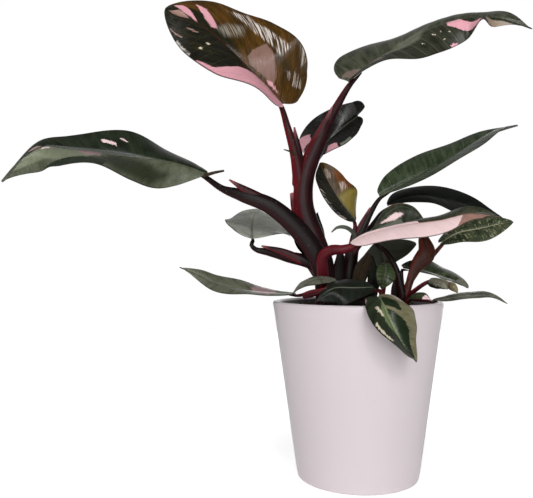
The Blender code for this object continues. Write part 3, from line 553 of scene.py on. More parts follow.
def smooth_curve(points, count):
    """A centripetal Catmull-Rom curve through the points, at even steps along its length."""
    points = np.asarray(points, float)
    points = np.vstack([2 * points[0] - points[1], points, 2 * points[-1] - points[-2]])
    dense = []
    for p0, p1, p2, p3 in zip(points, points[1:], points[2:], points[3:]):
        t1, t2, t3 = np.cumsum([np.linalg.norm(b - a) ** 0.5 for a, b in ((p0, p1), (p1, p2), (p2, p3))])
        t = np.linspace(t1, t2, CURVE_STEPS, endpoint=False)[:, None]
        a1 = (t1 - t) / t1 * p0 + t / t1 * p1
        a2 = (t2 - t) / (t2 - t1) * p1 + (t - t1) / (t2 - t1) * p2
        a3 = (t3 - t) / (t3 - t2) * p2 + (t - t2) / (t3 - t2) * p3
        b1 = (t2 - t) / t2 * a1 + t / t2 * a2
        b2 = (t3 - t) / (t3 - t1) * a2 + (t - t1) / (t3 - t1) * a3
        dense.append((t2 - t) / (t2 - t1) * b1 + (t - t1) / (t2 - t1) * b2)
    dense = np.vstack(dense + [points[-2][None]])
    run = np.concatenate([[0], np.cumsum(np.linalg.norm(np.diff(dense, axis=0), axis=1))])
    even = np.linspace(0, run[-1], count)
    return np.stack([np.interp(even, run, dense[:, axis]) for axis in range(3)], -1), run[-1]


def along(places, values):
    """Reads a smooth curve through values that are spread evenly from 0 to 1 at the given places."""
    values = np.asarray(values, float)
    slopes = np.gradient(values)
    spot = np.clip(places, 0, 1) * (len(values) - 1)
    first = np.minimum(spot.astype(int), len(values) - 2)
    t = spot - first
    ease = t * t * (3 - 2 * t)
    return ((1 - ease) * values[first] + ease * values[first + 1]
            + t * (1 - t) ** 2 * slopes[first] - t * t * (1 - t) * slopes[first + 1])


def along_points(places, stations, points):
    """Points at the given places along a line of points."""
    return np.stack([np.interp(places, stations, points[:, axis]) for axis in range(3)], -1)


rib_lengths = [smooth_curve(leaf["rib"], CURVE_STEPS)[1] for leaf in LEAVES.values()]
print("midribs, from", round(min(rib_lengths)), "to", round(max(rib_lengths)), "mm long")

# %% [markdown]
# ### The shape of a blade
# `half_width` is the heart-shaped outline, `midrib` the spine with the way that its upper side looks, and
# `blade_places` hangs the two halves on it. Three kinds of relief go on top: the groove over the midrib, the
# low pillows between the side veins, and a slight wave along the margin. `arch` bows each half a little from
# midrib to margin, as real halves do under their own weight; the big bronze leaf has its own, flatter bows.

# %% The outline of a half
LOBE_END_WIDTH = 0.3     # a lobe ends bluntly, this wide against the widest place
LOBE_ROUNDING = 0.12     # and its end is rounded over this part of the length


def half_width(place, widest, sharp, base):
    """The half's width, as a part of its greatest, from the lobe at 0 to the tip at 1."""
    start = np.arcsin(base) / pi
    bend = np.log((0.5 - start) / (1 - start)) / np.log(widest)
    phase = start + (1 - start) * np.clip(place, 0, 1) ** bend
    wave = np.abs(np.sin(pi * phase))
    outline = np.where(phase > 0.5, wave ** sharp, wave)
    corner = 1 - np.minimum(place / LOBE_ROUNDING, 1)
    return outline * (LOBE_END_WIDTH + (1 - LOBE_END_WIDTH) * np.sqrt(np.clip(1 - corner ** 2, 0, 1)))


# %% The midrib
RIB_STEPS = 65
FRAME_REACH = 8          # steps to either side over which the midrib's direction is averaged


def midrib(leaf):
    """Stations, points, directions and upper-side normals along the midrib, and its length."""
    points, length = smooth_curve(leaf["rib"], RIB_STEPS)
    longer = np.pad(points, ((FRAME_REACH, FRAME_REACH), (0, 0)), mode="reflect", reflect_type="odd")
    ahead = unit(longer[2 * FRAME_REACH:] - longer[:-2 * FRAME_REACH])
    stations = np.linspace(0, 1, len(points))
    face = np.asarray(leaf["face"], float)
    level = unit(face - (ahead @ face)[:, None] * ahead)
    across = np.cross(ahead, level)
    roll = np.radians(along(stations, leaf["roll"]))[:, None]
    return stations, points, ahead, level * np.cos(roll) + across * np.sin(roll), length


# %% Relief on a blade
GROOVE_DEPTH, GROOVE_WIDTH = 0.7, 1.3
PILLOW, WAVE = 0.24, 0.5             # heights of a pillow between two veins and of the margin's waves, in mm
WAVES = 3                            # along one margin
FULL_WAVE_WIDTH = 30.0               # halves narrower than this have lower pillows and waves


def relief(leaf, bow, turn, out, lateral, veins):
    """How far the blade stands above its flat halves: arch, groove, pillows between veins, wavy margin."""
    arch = bow * np.max(lateral, axis=1, keepdims=True) * np.sin(pi * out ** 0.8)
    groove = -GROOVE_DEPTH * np.exp(-(lateral / GROOVE_WIDTH) ** 2)
    pillows = PILLOW * np.abs(np.sin(pi * veins * turn)) ** 0.7 * np.sqrt(out) * (1 - out ** 6)
    size = min(1.0, max(leaf["width"]) / FULL_WAVE_WIDTH)
    waves = WAVE * size * out ** 3 * np.sin(2 * pi * (WAVES * turn + 0.13 * veins))
    return arch + groove + pillows * size + waves * np.sin(pi * turn)


# %% Places of a blade's points
ROW_SPACING, VEIN_START = 1.25, 0.95     # rows of points crowd towards the base, where the outline turns most
VEIN_SWEEP = 0.10        # how far towards the tip a side vein runs, as a part of the leaf's length


def blade_places(leaf, bows, rows, cells, veins):
    """Places of the upper side's points: rows along the side veins, from the left margin to the right."""
    stations, points, ahead, normals, length = midrib(leaf)
    turn = np.linspace(0, 1, rows + 1)
    row = turn ** ROW_SPACING
    start = row ** VEIN_START
    out = np.linspace(0, 1, cells + 1)
    own = [np.broadcast_to(leaf[key], 2) for key in ("width", "widest", "sharp", "lobe", "base")]
    halves = []
    for name, sign, bow, width, widest, sharp, lobe, base in zip(("left", "right"), (-1, 1), bows, *own):
        end = start + VEIN_SWEEP * np.sin(pi * row) * (1 - row) ** 0.3 - lobe * (1 - row) ** 3
        place = (end + lobe) / (1 + lobe)
        reach = start[:, None] + (end - start)[:, None] * out
        reach -= lobe * ((1 - row) ** 6)[:, None] * (np.sin(pi * out / 2) - out)
        inside = np.clip(reach, 0, 1)
        forward = unit(along_points(inside, stations, ahead))
        up = unit(along_points(inside, stations, normals))
        side = np.cross(forward, up)
        centre = along_points(inside, stations, points)
        centre = centre + forward * ((reach - inside) * length)[..., None]
        lateral = width * half_width(place, widest, sharp, base)[:, None] * out
        rise = along(inside, leaf[name])
        if name == "right" and "pinch" in leaf:
            where, spread, angle = leaf["pinch"]
            rise = rise + angle * np.exp(-((inside - where) / spread) ** 2)
        rise = np.radians(rise)
        over = relief(leaf, bow, turn[:, None], out[None], lateral, veins)
        aside = lateral * np.cos(rise) - over * np.sin(rise)
        above = lateral * np.sin(rise) + over * np.cos(rise)
        halves.append(centre + sign * aside[..., None] * side + above[..., None] * up)
    return np.concatenate([halves[0][:, ::-1], halves[1][:, 1:]], axis=1)


# %% Make a blade
BLADE_THICKNESS = 0.6
BIG_LENGTH, BIG_WIDTH = 90.0, 24.0
BIG_GRID, SMALL_GRID = (104, 24, 15), (52, 12, 9)        # rows, cells from midrib to margin, side veins


def grid_of(leaf, length):
    """A long or wide leaf gets more points and more side veins than a small one."""
    return BIG_GRID if length > BIG_LENGTH or max(leaf["width"]) > BIG_WIDTH else SMALL_GRID


def make_blade(name, leaf, bows):
    """Shapes the upper side, closes the tip, and gives the blade its thickness downwards."""
    length = midrib(leaf)[-1]
    rows, cells, veins = grid_of(leaf, length)
    blade = shaped_grid(name.replace("leaf", "blade"), blade_places(leaf, bows, rows, cells, veins))
    tidy_mesh(blade, outward=False)
    upper_count = len(blade.data.vertices)
    apply(blade, "SOLIDIFY", thickness=BLADE_THICKNESS * MM, offset=-1, use_even_offset=False)
    under = blade.data.attributes.new("under", "FLOAT", "POINT")
    below = np.arange(len(blade.data.vertices)) >= upper_count
    under.data.foreach_set("value", below.astype(float))
    pick(blade)
    bpy.ops.object.shade_smooth_by_angle(angle=radians(60))
    return blade, length


big_leaves = [name for name, leaf in LEAVES.items() if grid_of(leaf, midrib(leaf)[-1]) is BIG_GRID]
print("leaves with the finer grid:", len(big_leaves))

# %% [markdown]
# ## Leaf finish
# Pink princess leaves are painted along their veins: the pink and cream cells lie in wedges and flecks whose
# long sides follow the side veins and whose ends are combed into streaks. So each patch is a small outline on
# the blade's own map, and streaky noise that runs along the veins pushes its ends to and fro.
# The map is turned into millimetres from the midrib and along it, so that patches, veins and flecks keep one
# scale on every leaf.
#
# The two bronze leaves also carry painted highlights: fine pale streaks of glare and sheen, laid into the
# colour where their silky skin catches the light. They are combed lines inside an outline: only the crests
# of a finer noise that rise above a threshold are painted.
# `sweep` slants a leaf's streaks towards its tip, as its side veins are slanted.

# %% Colours of the leaves
BUBBLE = (242, 176, 188)
BLUSH = (255, 224, 224)
SALMON = (168, 128, 116)
CREAM = (226, 214, 188)
TAN = (176, 140, 128)
MAUVE = (166, 138, 138)
BLACKISH = (8, 11, 7)
DEEP = (15, 20, 12)
FOREST = (26, 40, 20)
GREEN = (30, 38, 22)
PALE_GREEN = (116, 130, 88)
GREY = (92, 98, 82)
BROWN = (54, 38, 6)
RUST = (92, 60, 10)
# The next three are painted highlights: glare, gleam and sheen laid into a leaf's colour as pale streaks
PAINTED_GLARE = (226, 216, 208)
PAINTED_GLEAM = (206, 190, 178)
PAINTED_SHEEN = (150, 142, 128)
EDGE_RED = (34, 14, 14)
UNDERSIDE, UNDER_LIGHT, UNDER_VEIN = (56, 60, 46), (78, 82, 66), (110, 80, 74)


# %% Noise, veins and outlines on a leaf
def stretched(tree, place, out, along_leaf, scale=1.0, detail=3.0):
    """Noise in streaks: the smaller `out` is, the longer they run from the midrib out to the margin."""
    return noise(tree, vector(tree, "MULTIPLY", place, (out, along_leaf, 1)), scale, detail=detail)


def vein_lines(tree, along_leaf, count, width):
    """Thin lines at even steps along the leaf, 1 on the line and 0 between."""
    away = math(tree, "PINGPONG", times(tree, along_leaf, float(count)), 0.5)
    return ramp(tree, away, 0.0, width, 1.0, 0.0)


def box(u0, v0, u1, v1):
    """The four corners of a small square outline on the leaf's map."""
    return (u0, v0), (u1, v0), (u1, v1), (u0, v1)


def patch_share(tree, place, corners, size, soft=0.35):
    """1 inside the outline and 0 outside it, from the distances to its edges, all in mm."""
    corners = [(u * size[0], v * size[1]) for u, v in corners]
    area = sum(a[0] * b[1] - b[0] * a[1] for a, b in zip(corners, corners[1:] + corners[:1]))
    if area < 0:
        corners = corners[::-1]
    inside = None
    for a, b in zip(corners, corners[1:] + corners[:1]):
        away = unit((a[1] - b[1], b[0] - a[0]))
        edge = vector(tree, "DOT_PRODUCT", place, (away[0], away[1], -float(away @ np.array(a))))
        inside = edge if inside is None else math(tree, "MINIMUM", inside, edge)
    return ramp(tree, inside, -soft, soft)


# %% Layers of colour on a leaf
HALVES_MEET = (0.495, 0.505)         # where on the map the two halves' colours meet
FLECK_EDGE = 0.03
PATCH_DARK = 0.95                    # a patch is this much darker where the blade under it is
LINE_EDGE = 0.06                     # how sharply a painted highlight streak begins at its threshold
RIB_HALF, RIB_TAPER = 1.1, 0.8       # mm from the midrib to its line's edge at the base, and less at the tip
RIB_SOFT = (-0.4, 0.3)               # mm over which that line fades out
MARGIN_BAND = (0.965, 0.985)         # the margin's line begins between these parts of the half's width
RIB_SHARE, MARGIN_SHARE, UNDER_VEIN_SHARE = 0.6, 0.8, 0.3


def ground_colour(tree, look, share, across):
    """The blade's own green or bronze, which may differ on the two sides of the midrib."""
    tone = ramp(tree, share, 0.4, 0.72)
    colour = two_tone(tree, tone, *look["upper"])
    for half, shares in (("left_half", (1.0, 0.0)), ("right_half", (0.0, 1.0))):
        if half in look:
            side = ramp(tree, across, *HALVES_MEET, *shares)
            colour = blend(tree, side, colour, two_tone(tree, tone, *look[half]))
    return colour


def paint_flecks(tree, look, colour, own):
    """Small pale specks all over a leaf, if the table asks for them."""
    if "flecks" not in look:
        return colour
    tint, start = look["flecks"]
    flecks = stretched(tree, own, 0.3, 1.1, scale=0.8, detail=2.0)
    return blend(tree, ramp(tree, flecks, start, start + FLECK_EDGE), colour, shade(*tint))


def paint_patches(tree, look, colour, place, size, share):
    """Lays the leaf's patches over its colour, one after another."""
    for tint, corners, *soft in look.get("patches", ()):
        inside = patch_share(tree, place, corners, size, *soft)
        darker = [PATCH_DARK * part for part in tint]
        colour = blend(tree, inside, colour, two_tone(tree, ramp(tree, share, 0.35, 0.75), darker, tint))
    return colour


def paint_highlight_streaks(tree, look, colour, place, size, combed):
    """Paints highlights into the colour: only the crests of the combed noise inside each outline, as pale
    streaks.
    """
    for tint, corners, soft, least in look.get("painted_highlights", ()):
        inside = patch_share(tree, place, corners, size, soft)
        crests = ramp(tree, combed, least, least + LINE_EDGE)
        colour = blend(tree, times(tree, inside, crests), colour, shade(*tint))
    return colour


def paint_rib_and_margin(tree, look, colour, wide, off_rib, along_leaf):
    """A pale midrib that narrows towards the tip, and a thin dark red margin."""
    rib_width = math(tree, "MULTIPLY_ADD", along_leaf, -RIB_TAPER, RIB_HALF)
    past_rib = math(tree, "SUBTRACT", times(tree, off_rib, wide), rib_width)
    rib = times(tree, ramp(tree, past_rib, *RIB_SOFT, 1.0, 0.0), look.get("rib_share", RIB_SHARE))
    colour = blend(tree, rib, colour, shade(*look.get("rib", GREY)))
    margin = ramp(tree, off_rib, *MARGIN_BAND)
    return blend(tree, times(tree, margin, MARGIN_SHARE), colour, shade(*EDGE_RED))


def underside(tree, look, share, lines):
    """The underside is plainer, and its veins are redder."""
    below = two_tone(tree, share, look.get("under", UNDERSIDE), UNDER_LIGHT)
    return blend(tree, times(tree, lines, UNDER_VEIN_SHARE), below, shade(*UNDER_VEIN))


# %% The whole leaf finish
LEAF_ROUGHNESS, LEAF_GLOSS = 0.3, 0.35
NOISE_STEP = 7.3                     # moves the noise on from leaf to leaf, so that no two are alike
COMB, JITTER = 3.0, 1.2              # mm by which noise pushes a patch's edge, outwards and along the leaf
LINE_WIDTH = 0.07                    # of a side vein's line, as a part of the step between two veins


def leaf_finish(name, leaf, length, look):
    """All the layers of one leaf, from the ground colour to the underside."""
    roughness = look.get("rough", LEAF_ROUGHNESS)
    finish, tree, shader = new_finish(name, roughness, look.get("gloss", LEAF_GLOSS))
    wide = sum(leaf["width"]) / 2
    size = (wide, length)
    flat = node(tree, "UVMap", uv_map="UVMap").outputs["UV"]
    place = vector(tree, "MULTIPLY_ADD", flat, (2 * wide, length, 0), (-wide, 0, 1))
    across, along_leaf = node(tree, "SeparateXYZ", {0: flat}).outputs[:2]
    off_rib = math(tree, "ABSOLUTE", math(tree, "MULTIPLY_ADD", across, 2.0, -1.0))
    back = times(tree, off_rib, -look.get("sweep", 0.0) * wide)
    slanted = vector(tree, "ADD", place, node(tree, "CombineXYZ", {1: back}).outputs[0])
    own = vector(tree, "ADD", slanted, (0, 0, look["seed"] * NOISE_STEP))

    # Streaks run along the veins, from the midrib to the margin
    streaks = stretched(tree, own, 0.05, 0.55, detail=4.0)
    mottle = stretched(tree, own, 0.5, 1.0, scale=0.12)
    fine = stretched(tree, own, 0.03, 1.6, detail=2.0)
    grainy = noise(tree, own, 0.8)
    share = plus(tree, times(tree, streaks, 0.4), times(tree, mottle, 0.7))
    main_veins = vein_lines(tree, along_leaf, grid_of(leaf, length)[2], LINE_WIDTH)
    lines = math(tree, "MAXIMUM", ramp(tree, fine, 0.5, 0.75, 0.0, 0.5), main_veins)
    colour = ground_colour(tree, look, share, across)
    vein_share = times(tree, lines, look.get("veins", 0.1))
    colour = blend(tree, vein_share, colour, shade(*look.get("vein", GREY)))

    # Flecks, patches and painted highlight streaks
    colour = paint_flecks(tree, look, colour, own)
    comb = look.get("comb", COMB)
    push = node(tree, "CombineXYZ", {0: math(tree, "MULTIPLY_ADD", fine, 2 * comb, -comb),
                                     1: math(tree, "MULTIPLY_ADD", grainy, 2 * JITTER, -JITTER)})
    pushed = vector(tree, "ADD", place, push.outputs[0])
    colour = paint_patches(tree, look, colour, pushed, size, share)
    hairs = stretched(tree, own, 0.09, 1.1)
    combed = math(tree, "MULTIPLY_ADD", hairs, 0.7, times(tree, streaks, 0.45))
    colour = paint_highlight_streaks(tree, look, colour, pushed, size, combed)
    colour = paint_rib_and_margin(tree, look, colour, wide, off_rib, along_leaf)

    # The blade's own attribute says which of its points lie on the underside
    under = node(tree, "Attribute", attribute_name="under").outputs["Fac"]
    colour = blend(tree, under, colour, underside(tree, look, share, lines))
    tree.links.new(colour, shader.inputs["Base Color"])

    # The gloss changes with the mottling, and fine streaks and grain lift the skin
    gloss = ramp(tree, mottle, 0.3, 0.7, roughness - 0.05, roughness + 0.08)
    tree.links.new(gloss, shader.inputs["Roughness"])
    height = plus(tree, times(tree, fine, 0.5), times(tree, streaks, 0.7))
    height = plus(tree, height, times(tree, grainy, 0.2))
    bump(tree, shader, height, look.get("relief", 0.2))
    return finish


# %% [markdown]
# ### The looks, leaf by leaf
# `upper` holds the dark and the light shade of the upper side, `left_half` and `right_half` those of a half
# that differs. A patch is a colour, an outline and, where its edge is softer than usual, that softness in mm.
# An outline's first number runs from the midrib at 0 to a margin at -1 or 1, its second from the base at 0
# to the tip at 1. A patch of painted highlights ends with the threshold above which its pale streaks show.

# %% How each leaf looks
LOOKS = {
    "leaf_crown_left": dict(
        upper=(BLACKISH, (34, 32, 10)), right_half=(BROWN, RUST), rough=0.22, gloss=0.3, sweep=1.1,
        rib=(96, 40, 38), veins=0.1, vein=(120, 96, 66), slot="bronze_leaf", relief=0.45, arch=(0.05, 0.0),
        patches=(
            ((30, 30, 12), ((-0.1, 1.2), (1.2, 1.1), (0.9, 0.9), (0.3, 0.62), (0.12, 0.4), (-0.1, 0.4)), 3.0),
            (BUBBLE, ((0.62, 0.965), (0.64, 0.92), (0.02, 0.785), (0.05, 0.82), (0.18, 0.89), (0.45, 0.945))),
            (BUBBLE, ((0.78, 0.86), (0.62, 0.78), (0.2, 0.665), (0.12, 0.7), (0.28, 0.76), (0.5, 0.81))),
            (TAN, ((-0.08, 0.98), (0.28, 0.92), (0.0, 0.84), (-0.12, 0.88), (-0.2, 0.94))),
            (TAN, ((-0.44, 0.79), (-0.4, 0.79), (-0.3, 0.715), (-0.34, 0.715))),
            (TAN, ((-0.94, 0.885), (-0.88, 0.87), (-0.74, 0.75), (-0.78, 0.75))),
            (CREAM, ((-0.45, 0.62), (-0.4, 0.62), (-0.39, 0.6), (-0.44, 0.6))),
            (CREAM, ((-0.68, 0.61), (-0.62, 0.61), (-0.62, 0.59), (-0.67, 0.59))),
            (BUBBLE, ((-1.2, 0.56), (-0.95, 0.53), (-0.85, 0.44), (-0.85, 0.0), (-1.2, 0.0))),
            (BUBBLE, ((-1.2, 0.47), (-0.68, 0.42), (-0.4, 0.39), (-0.3, 0.36), (-0.14, 0.27), (-0.08, -0.1),
                      (-1.2, -0.1))),
            ((140, 108, 96), ((0.05, 0.39), (0.12, 0.425), (0.3, 0.425), (0.56, 0.385), (0.5, 0.32),
                              (0.25, 0.21), (0.12, 0.18), (0.07, 0.3))),
            (BUBBLE, ((0.05, 0.2), (0.08, 0.24), (0.12, 0.2), (0.08, 0.1)))),
        # painted highlights: streaks of glare over the right half and the left margin, and a broad painted
        # sheen
        painted_highlights=(
            (PAINTED_GLARE, ((-0.93, 0.76), (-1.1, 0.76), (-1.1, 0.56), (-0.93, 0.6)), 0.5, 0.5),
            (PAINTED_GLARE, ((0.86, 0.67), (0.94, 0.55), (0.72, 0.45), (0.62, 0.47)), 1.0, 0.57),
            (PAINTED_GLARE, ((0.84, 0.5), (0.8, 0.27), (0.56, 0.27), (0.62, 0.47)), 1.0, 0.56),
            (PAINTED_GLARE, ((0.96, 0.27), (1.1, 0.27), (1.1, 0.14), (0.74, 0.13), (0.85, 0.18)), 1.0, 0.56),
            (PAINTED_GLARE, ((0.46, 0.2), (0.4, 0.09), (0.7, 0.04), (0.76, 0.09), (0.56, 0.16)), 1.0, 0.6),
            (PAINTED_SHEEN, ((0.2, 0.67), (0.47, 0.63), (0.63, 0.54), (0.4, 0.52), (0.15, 0.61)), 3.5, 0.52))),
    "leaf_crown_right": dict(
        upper=((46, 50, 36), (80, 84, 66)), right_half=((28, 30, 20), (56, 58, 43)), veins=0.35,
        vein=(120, 118, 100), rough=0.32, patches=(
            # painted sheen: a soft pale fan over the base half
            ((112, 116, 98), ((0.8, 0.16), (0.5, 0.2), (-0.1, 0.38), (-0.12, 0.62), (0.1, 0.62), (0.25, 0.46),
                              (0.75, 0.36), (0.9, 0.24)), 3.0),
            (BUBBLE, ((0.05, 0.62), (0.0, 0.68), (0.85, 0.735), (1.05, 0.7), (0.62, 0.655), (0.3, 0.61))),
            ((158, 140, 120), ((0.5, 0.77), (0.45, 0.86), (0.9, 0.9), (1.1, 0.88), (1.1, 0.76))),
            (BUBBLE, ((0.9, 0.55), (1.2, 0.55), (1.2, 0.6), (0.93, 0.59))),
            (CREAM, box(0.36, 0.53, 0.41, 0.516), 0.2),
            (CREAM, box(0.36, 0.566, 0.39, 0.557), 0.2),
            (CREAM, box(0.46, 0.6, 0.5, 0.592), 0.2),
            (CREAM, box(0.5, 0.447, 0.54, 0.437), 0.2),
            (CREAM, box(0.66, 0.55, 0.69, 0.54), 0.2),
            ((120, 104, 96), ((-0.45, 0.0), (-0.1, 0.12), (0.3, 0.2), (0.7, 0.23), (0.75, 0.2), (0.0, 0.04)),
             0.8))),
    "leaf_far_left": dict(
        upper=((18, 26, 13), (38, 47, 29)), left_half=((78, 83, 64), (104, 108, 88)), veins=0.1, patches=(
            # partly a paler grey-green tone and partly a painted sheen, along the midrib of the left half
            ((126, 132, 108), ((-0.03, 0.95), (-0.45, 0.92), (-0.78, 0.68), (-0.8, 0.56), (-0.42, 0.5),
                             (-0.03, 0.46)), 1.2),
            (BLUSH, ((0.6, 0.515), (0.48, 0.46), (0.35, 0.465), (0.45, 0.52))),
            (BLUSH, ((0.63, 0.435), (0.66, 0.425), (0.53, 0.405), (0.5, 0.415))),
            # painted shade: a darker band along the left margin, beyond the pale band
            (FOREST, ((-0.72, 0.88), (-0.7, 0.62), (-0.5, 0.52), (-0.6, 0.46), (-1.2, 0.44), (-1.2, 0.9))),
            ((50, 56, 40), ((-0.3, 0.5), (-0.75, 0.5), (-0.9, 0.42), (-0.9, 0.25), (-0.5, 0.2), (-0.2, 0.36)),
             6.0),
            (MAUVE, ((-0.15, 0.63), (-0.15, 0.57), (-0.32, 0.52), (-0.55, 0.5), (-0.6, 0.56), (-0.35, 0.62)),
             0.8),
            (MAUVE, ((0.15, 0.83), (0.4, 0.84), (0.35, 0.8), (0.1, 0.79)), 0.8),
            (BLUSH, box(-0.1, 0.79, -0.2, 0.755)))),
    "leaf_upright_right": dict(
        upper=((40, 52, 32), (68, 80, 56)), right_half=((50, 60, 44), (74, 82, 64)), rib=(124, 126, 106),
        veins=0.3, vein=(112, 118, 100)),
    "leaf_dark_arched": dict(
        upper=((11, 14, 10), (22, 25, 18)), veins=0.06, rib=(48, 46, 36), rough=0.5, gloss=0.15),
    "leaf_folded": dict(
        upper=((34, 40, 28), (66, 70, 56)), rough=0.4, gloss=0.2, patches=(
            (RUST, box(-0.8, 0.45, -0.4, 0.65)),
            (GREY, ((0.35, -0.1), (1.2, -0.1), (1.2, 0.6), (0.7, 0.5), (0.45, 0.2)), 1.0),
            (BLUSH, ((0.2, 0.25), (0.32, 0.26), (0.6, 0.42), (0.42, 0.68), (0.25, 0.5))))),
    "leaf_long_pink": dict(
        upper=((36, 42, 28), (70, 72, 54)), slot="pink_leaf", rib=(206, 150, 142), rib_share=0.9, comb=2.0,
        rough=0.36, gloss=0.25, patches=(
            (SALMON, ((0.05, 0.7), (0.1, 0.93), (0.5, 0.93), (1.3, 0.84), (1.3, 0.6), (0.4, 0.66)), 0.8),
            (BLUSH, ((0.0, -0.1), (1.3, -0.1), (1.3, 0.62), (0.6, 0.74), (0.2, 0.78), (0.0, 0.72))),
            (BLUSH, ((-0.5, -0.1), (0.1, -0.1), (0.1, 0.55), (-0.2, 0.5))))),
    "leaf_speckled": dict(
        upper=((38, 48, 30), (74, 80, 56)), rib=(160, 158, 132), rib_share=1.0, veins=0.3,
        flecks=((140, 144, 110), 0.6)),
    "leaf_dark_middle": dict(
        upper=((12, 11, 9), (26, 20, 15)), flecks=((110, 112, 104), 0.72), gloss=0.5, patches=(
            (BUBBLE, ((1.2, 0.8), (0.65, 0.66), (0.42, 0.76), (0.9, 0.98), (1.2, 0.98))),
            (BUBBLE, ((-1.2, 0.9), (-0.5, 0.74), (-0.66, 0.64), (-1.2, 0.7))),
            ((134, 138, 124), ((-1.2, 0.68), (-0.85, 0.63), (-0.88, 0.45), (-1.2, 0.44))))),
    "leaf_bronze_middle": dict(
        upper=(BLACKISH, (40, 38, 28)), right_half=((50, 32, 10), (98, 68, 20)), slot="bronze_leaf",
        rough=0.25, gloss=0.3, flecks=((186, 178, 140), 0.74), veins=0.1, relief=0.4, sweep=1.0, patches=(
            ((134, 118, 52), ((0.02, 0.62), (0.3, 0.56), (0.65, 0.46), (1.2, 0.43), (1.2, 0.25), (0.5, 0.12),
                              (0.1, 0.08), (0.0, 0.3)), 3.0),
            ((110, 62, 22), ((0.5, 0.8), (1.2, 0.8), (1.2, 0.5), (0.8, 0.45), (0.45, 0.6)), 2.0)),
        # painted highlights: streaks of gleam, and painted glints along the left margin
        painted_highlights=(
            (PAINTED_GLEAM, ((0.42, 0.64), (0.8, 0.58), (0.75, 0.47), (0.32, 0.51)), 1.5, 0.56),
            (PAINTED_GLEAM, ((-0.1, 0.93), (0.45, 0.87), (0.3, 0.74), (0.0, 0.76)), 0.8, 0.6),
            (PAINTED_GLEAM, box(-0.85, 0.6, -1.0, 0.15), 0.4, 0.6))),
    "leaf_low_left": dict(
        upper=((140, 143, 132), (172, 174, 162)), slot="grey_green_leaf", vein=(120, 122, 110), veins=0.5,
        under=(40, 44, 34)),
    "leaf_behind_stem": dict(upper=(BLACKISH, DEEP), rough=0.5, gloss=0.12),
    "leaf_under_pink": dict(upper=(BLACKISH, DEEP), rough=0.5, gloss=0.12, patches=(
        (CREAM, ((0.93, 0.16), (1.2, 0.16), (1.2, 0.3), (0.95, 0.29))),)),
    "leaf_rim_left": dict(
        upper=((84, 88, 70), (112, 114, 96)), slot="grey_green_leaf", vein=(134, 132, 116), veins=0.4,
        patches=(
            (MAUVE, ((0.3, 0.42), (0.75, 0.3), (0.5, 0.2), (-0.9, 0.26), (-0.75, 0.4))),)),
    "leaf_grey_left": dict(
        upper=((82, 84, 72), (112, 112, 100)), slot="grey_green_leaf", vein=(134, 132, 120), veins=0.5),
    "leaf_rim_front": dict(upper=((10, 14, 9), (26, 34, 24)), rib=(116, 120, 104), rib_share=1.0),
    "leaf_over_rim": dict(
        upper=((24, 32, 18), (44, 54, 32)), left_half=((104, 102, 74), (136, 128, 102)), rib=(128, 142, 104),
        flecks=((140, 150, 112), 0.76), sweep=0.5, patches=(
            ((176, 162, 152), ((-0.1, -0.1), (-0.1, 0.1), (-0.75, 0.22), (-0.85, 0.36), (-1.2, 0.36),
                               (-1.2, -0.1)), 0.6),
            (FOREST, ((0.02, 0.12), (-0.15, 0.14), (-0.45, 0.22), (-0.64, 0.28), (-0.5, 0.42), (-0.28, 0.37),
                      (0.0, 0.3))),
            (FOREST, ((0.02, 0.36), (-0.22, 0.42), (-0.48, 0.55), (-0.52, 0.67), (-0.42, 0.82), (-0.26, 0.96),
                      (0.02, 0.96))),
            (PALE_GREEN, ((-0.02, 0.2), (0.12, 0.3), (0.28, 0.42), (0.36, 0.53), (0.25, 0.68), (0.08, 0.8),
                          (-0.06, 0.86), (-0.05, 0.6))),
            (CREAM, ((0.5, 0.33), (0.35, 0.33), (0.25, 0.42), (0.3, 0.46), (0.42, 0.4))),
            (CREAM, ((0.8, 0.45), (0.93, 0.45), (0.96, 0.62), (0.86, 0.64))),
            (MAUVE, ((0.9, 0.14), (1.2, 0.14), (1.2, 0.24), (0.92, 0.24))))),
    "leaf_crumpled": dict(upper=((22, 30, 16), (50, 62, 34)), vein=(120, 134, 90), veins=0.6),
    "leaf_cluster_green": dict(
        upper=(GREEN, (84, 94, 66)), rib=(190, 184, 150), rib_share=1.0, patches=(
            ((118, 120, 106), ((-0.6, 0.84), (0.8, 0.8), (0.5, 1.1), (-0.5, 1.1))),)),
    "leaf_cluster_striped": dict(
        upper=((72, 60, 40), (150, 138, 104)), vein=(190, 176, 140), veins=0.5, comb=6.0),
    "leaf_cluster_pale": dict(
        upper=((92, 92, 78), (128, 124, 108)), slot="grey_green_leaf", patches=(
            (DEEP, ((0.6, -0.1), (1.2, -0.1), (1.2, 1.0), (0.7, 0.9))),)),
    "leaf_rim_right": dict(upper=((76, 78, 64), (112, 112, 98)), slot="grey_green_leaf", veins=0.4),
    "leaf_rim_small": dict(upper=(GREEN, (60, 66, 40)), patches=(
        (BLUSH, ((-0.6, 0.76), (1.2, 0.7), (1.2, 1.1), (-0.6, 1.1))),)),
}

print("patches in the table:", sum(len(look.get("patches", ())) for look in LOOKS.values()))

# %% Make all the leaves
ARCH = (0.07, 0.07)      # height of the left and right half's bow, as a part of its width
for number, (name, leaf) in enumerate(LEAVES.items()):
    look = dict(LOOKS[name], seed=number + 1)
    blade, length = make_blade(name, leaf, look.get("arch", ARCH))
    dress(blade, leaf_finish(name.replace("leaf", "finish"), leaf, length, look),
          look.get("slot", "dark_leaf"), name)
print("blades made:", len(LEAVES))

# %% [markdown]
# ## Stalks
# A leaf stalk is a smooth, slightly flattened rod that runs on under its leaf as the midrib. Young leaves
# are born wrapped in thin sheaths, whose torn ends stay as pointed flaps where the stalks part. Each is a
# sheet of points rolled into a tube with rounded ends, along the same paths as in the solid shoots. In the
# table, `width` is the distance from a stalk's middle to its side, in steps along its path, `under` how far
# it runs on under its leaf, and `flat` its depth as a part of its width, where it isn't round.

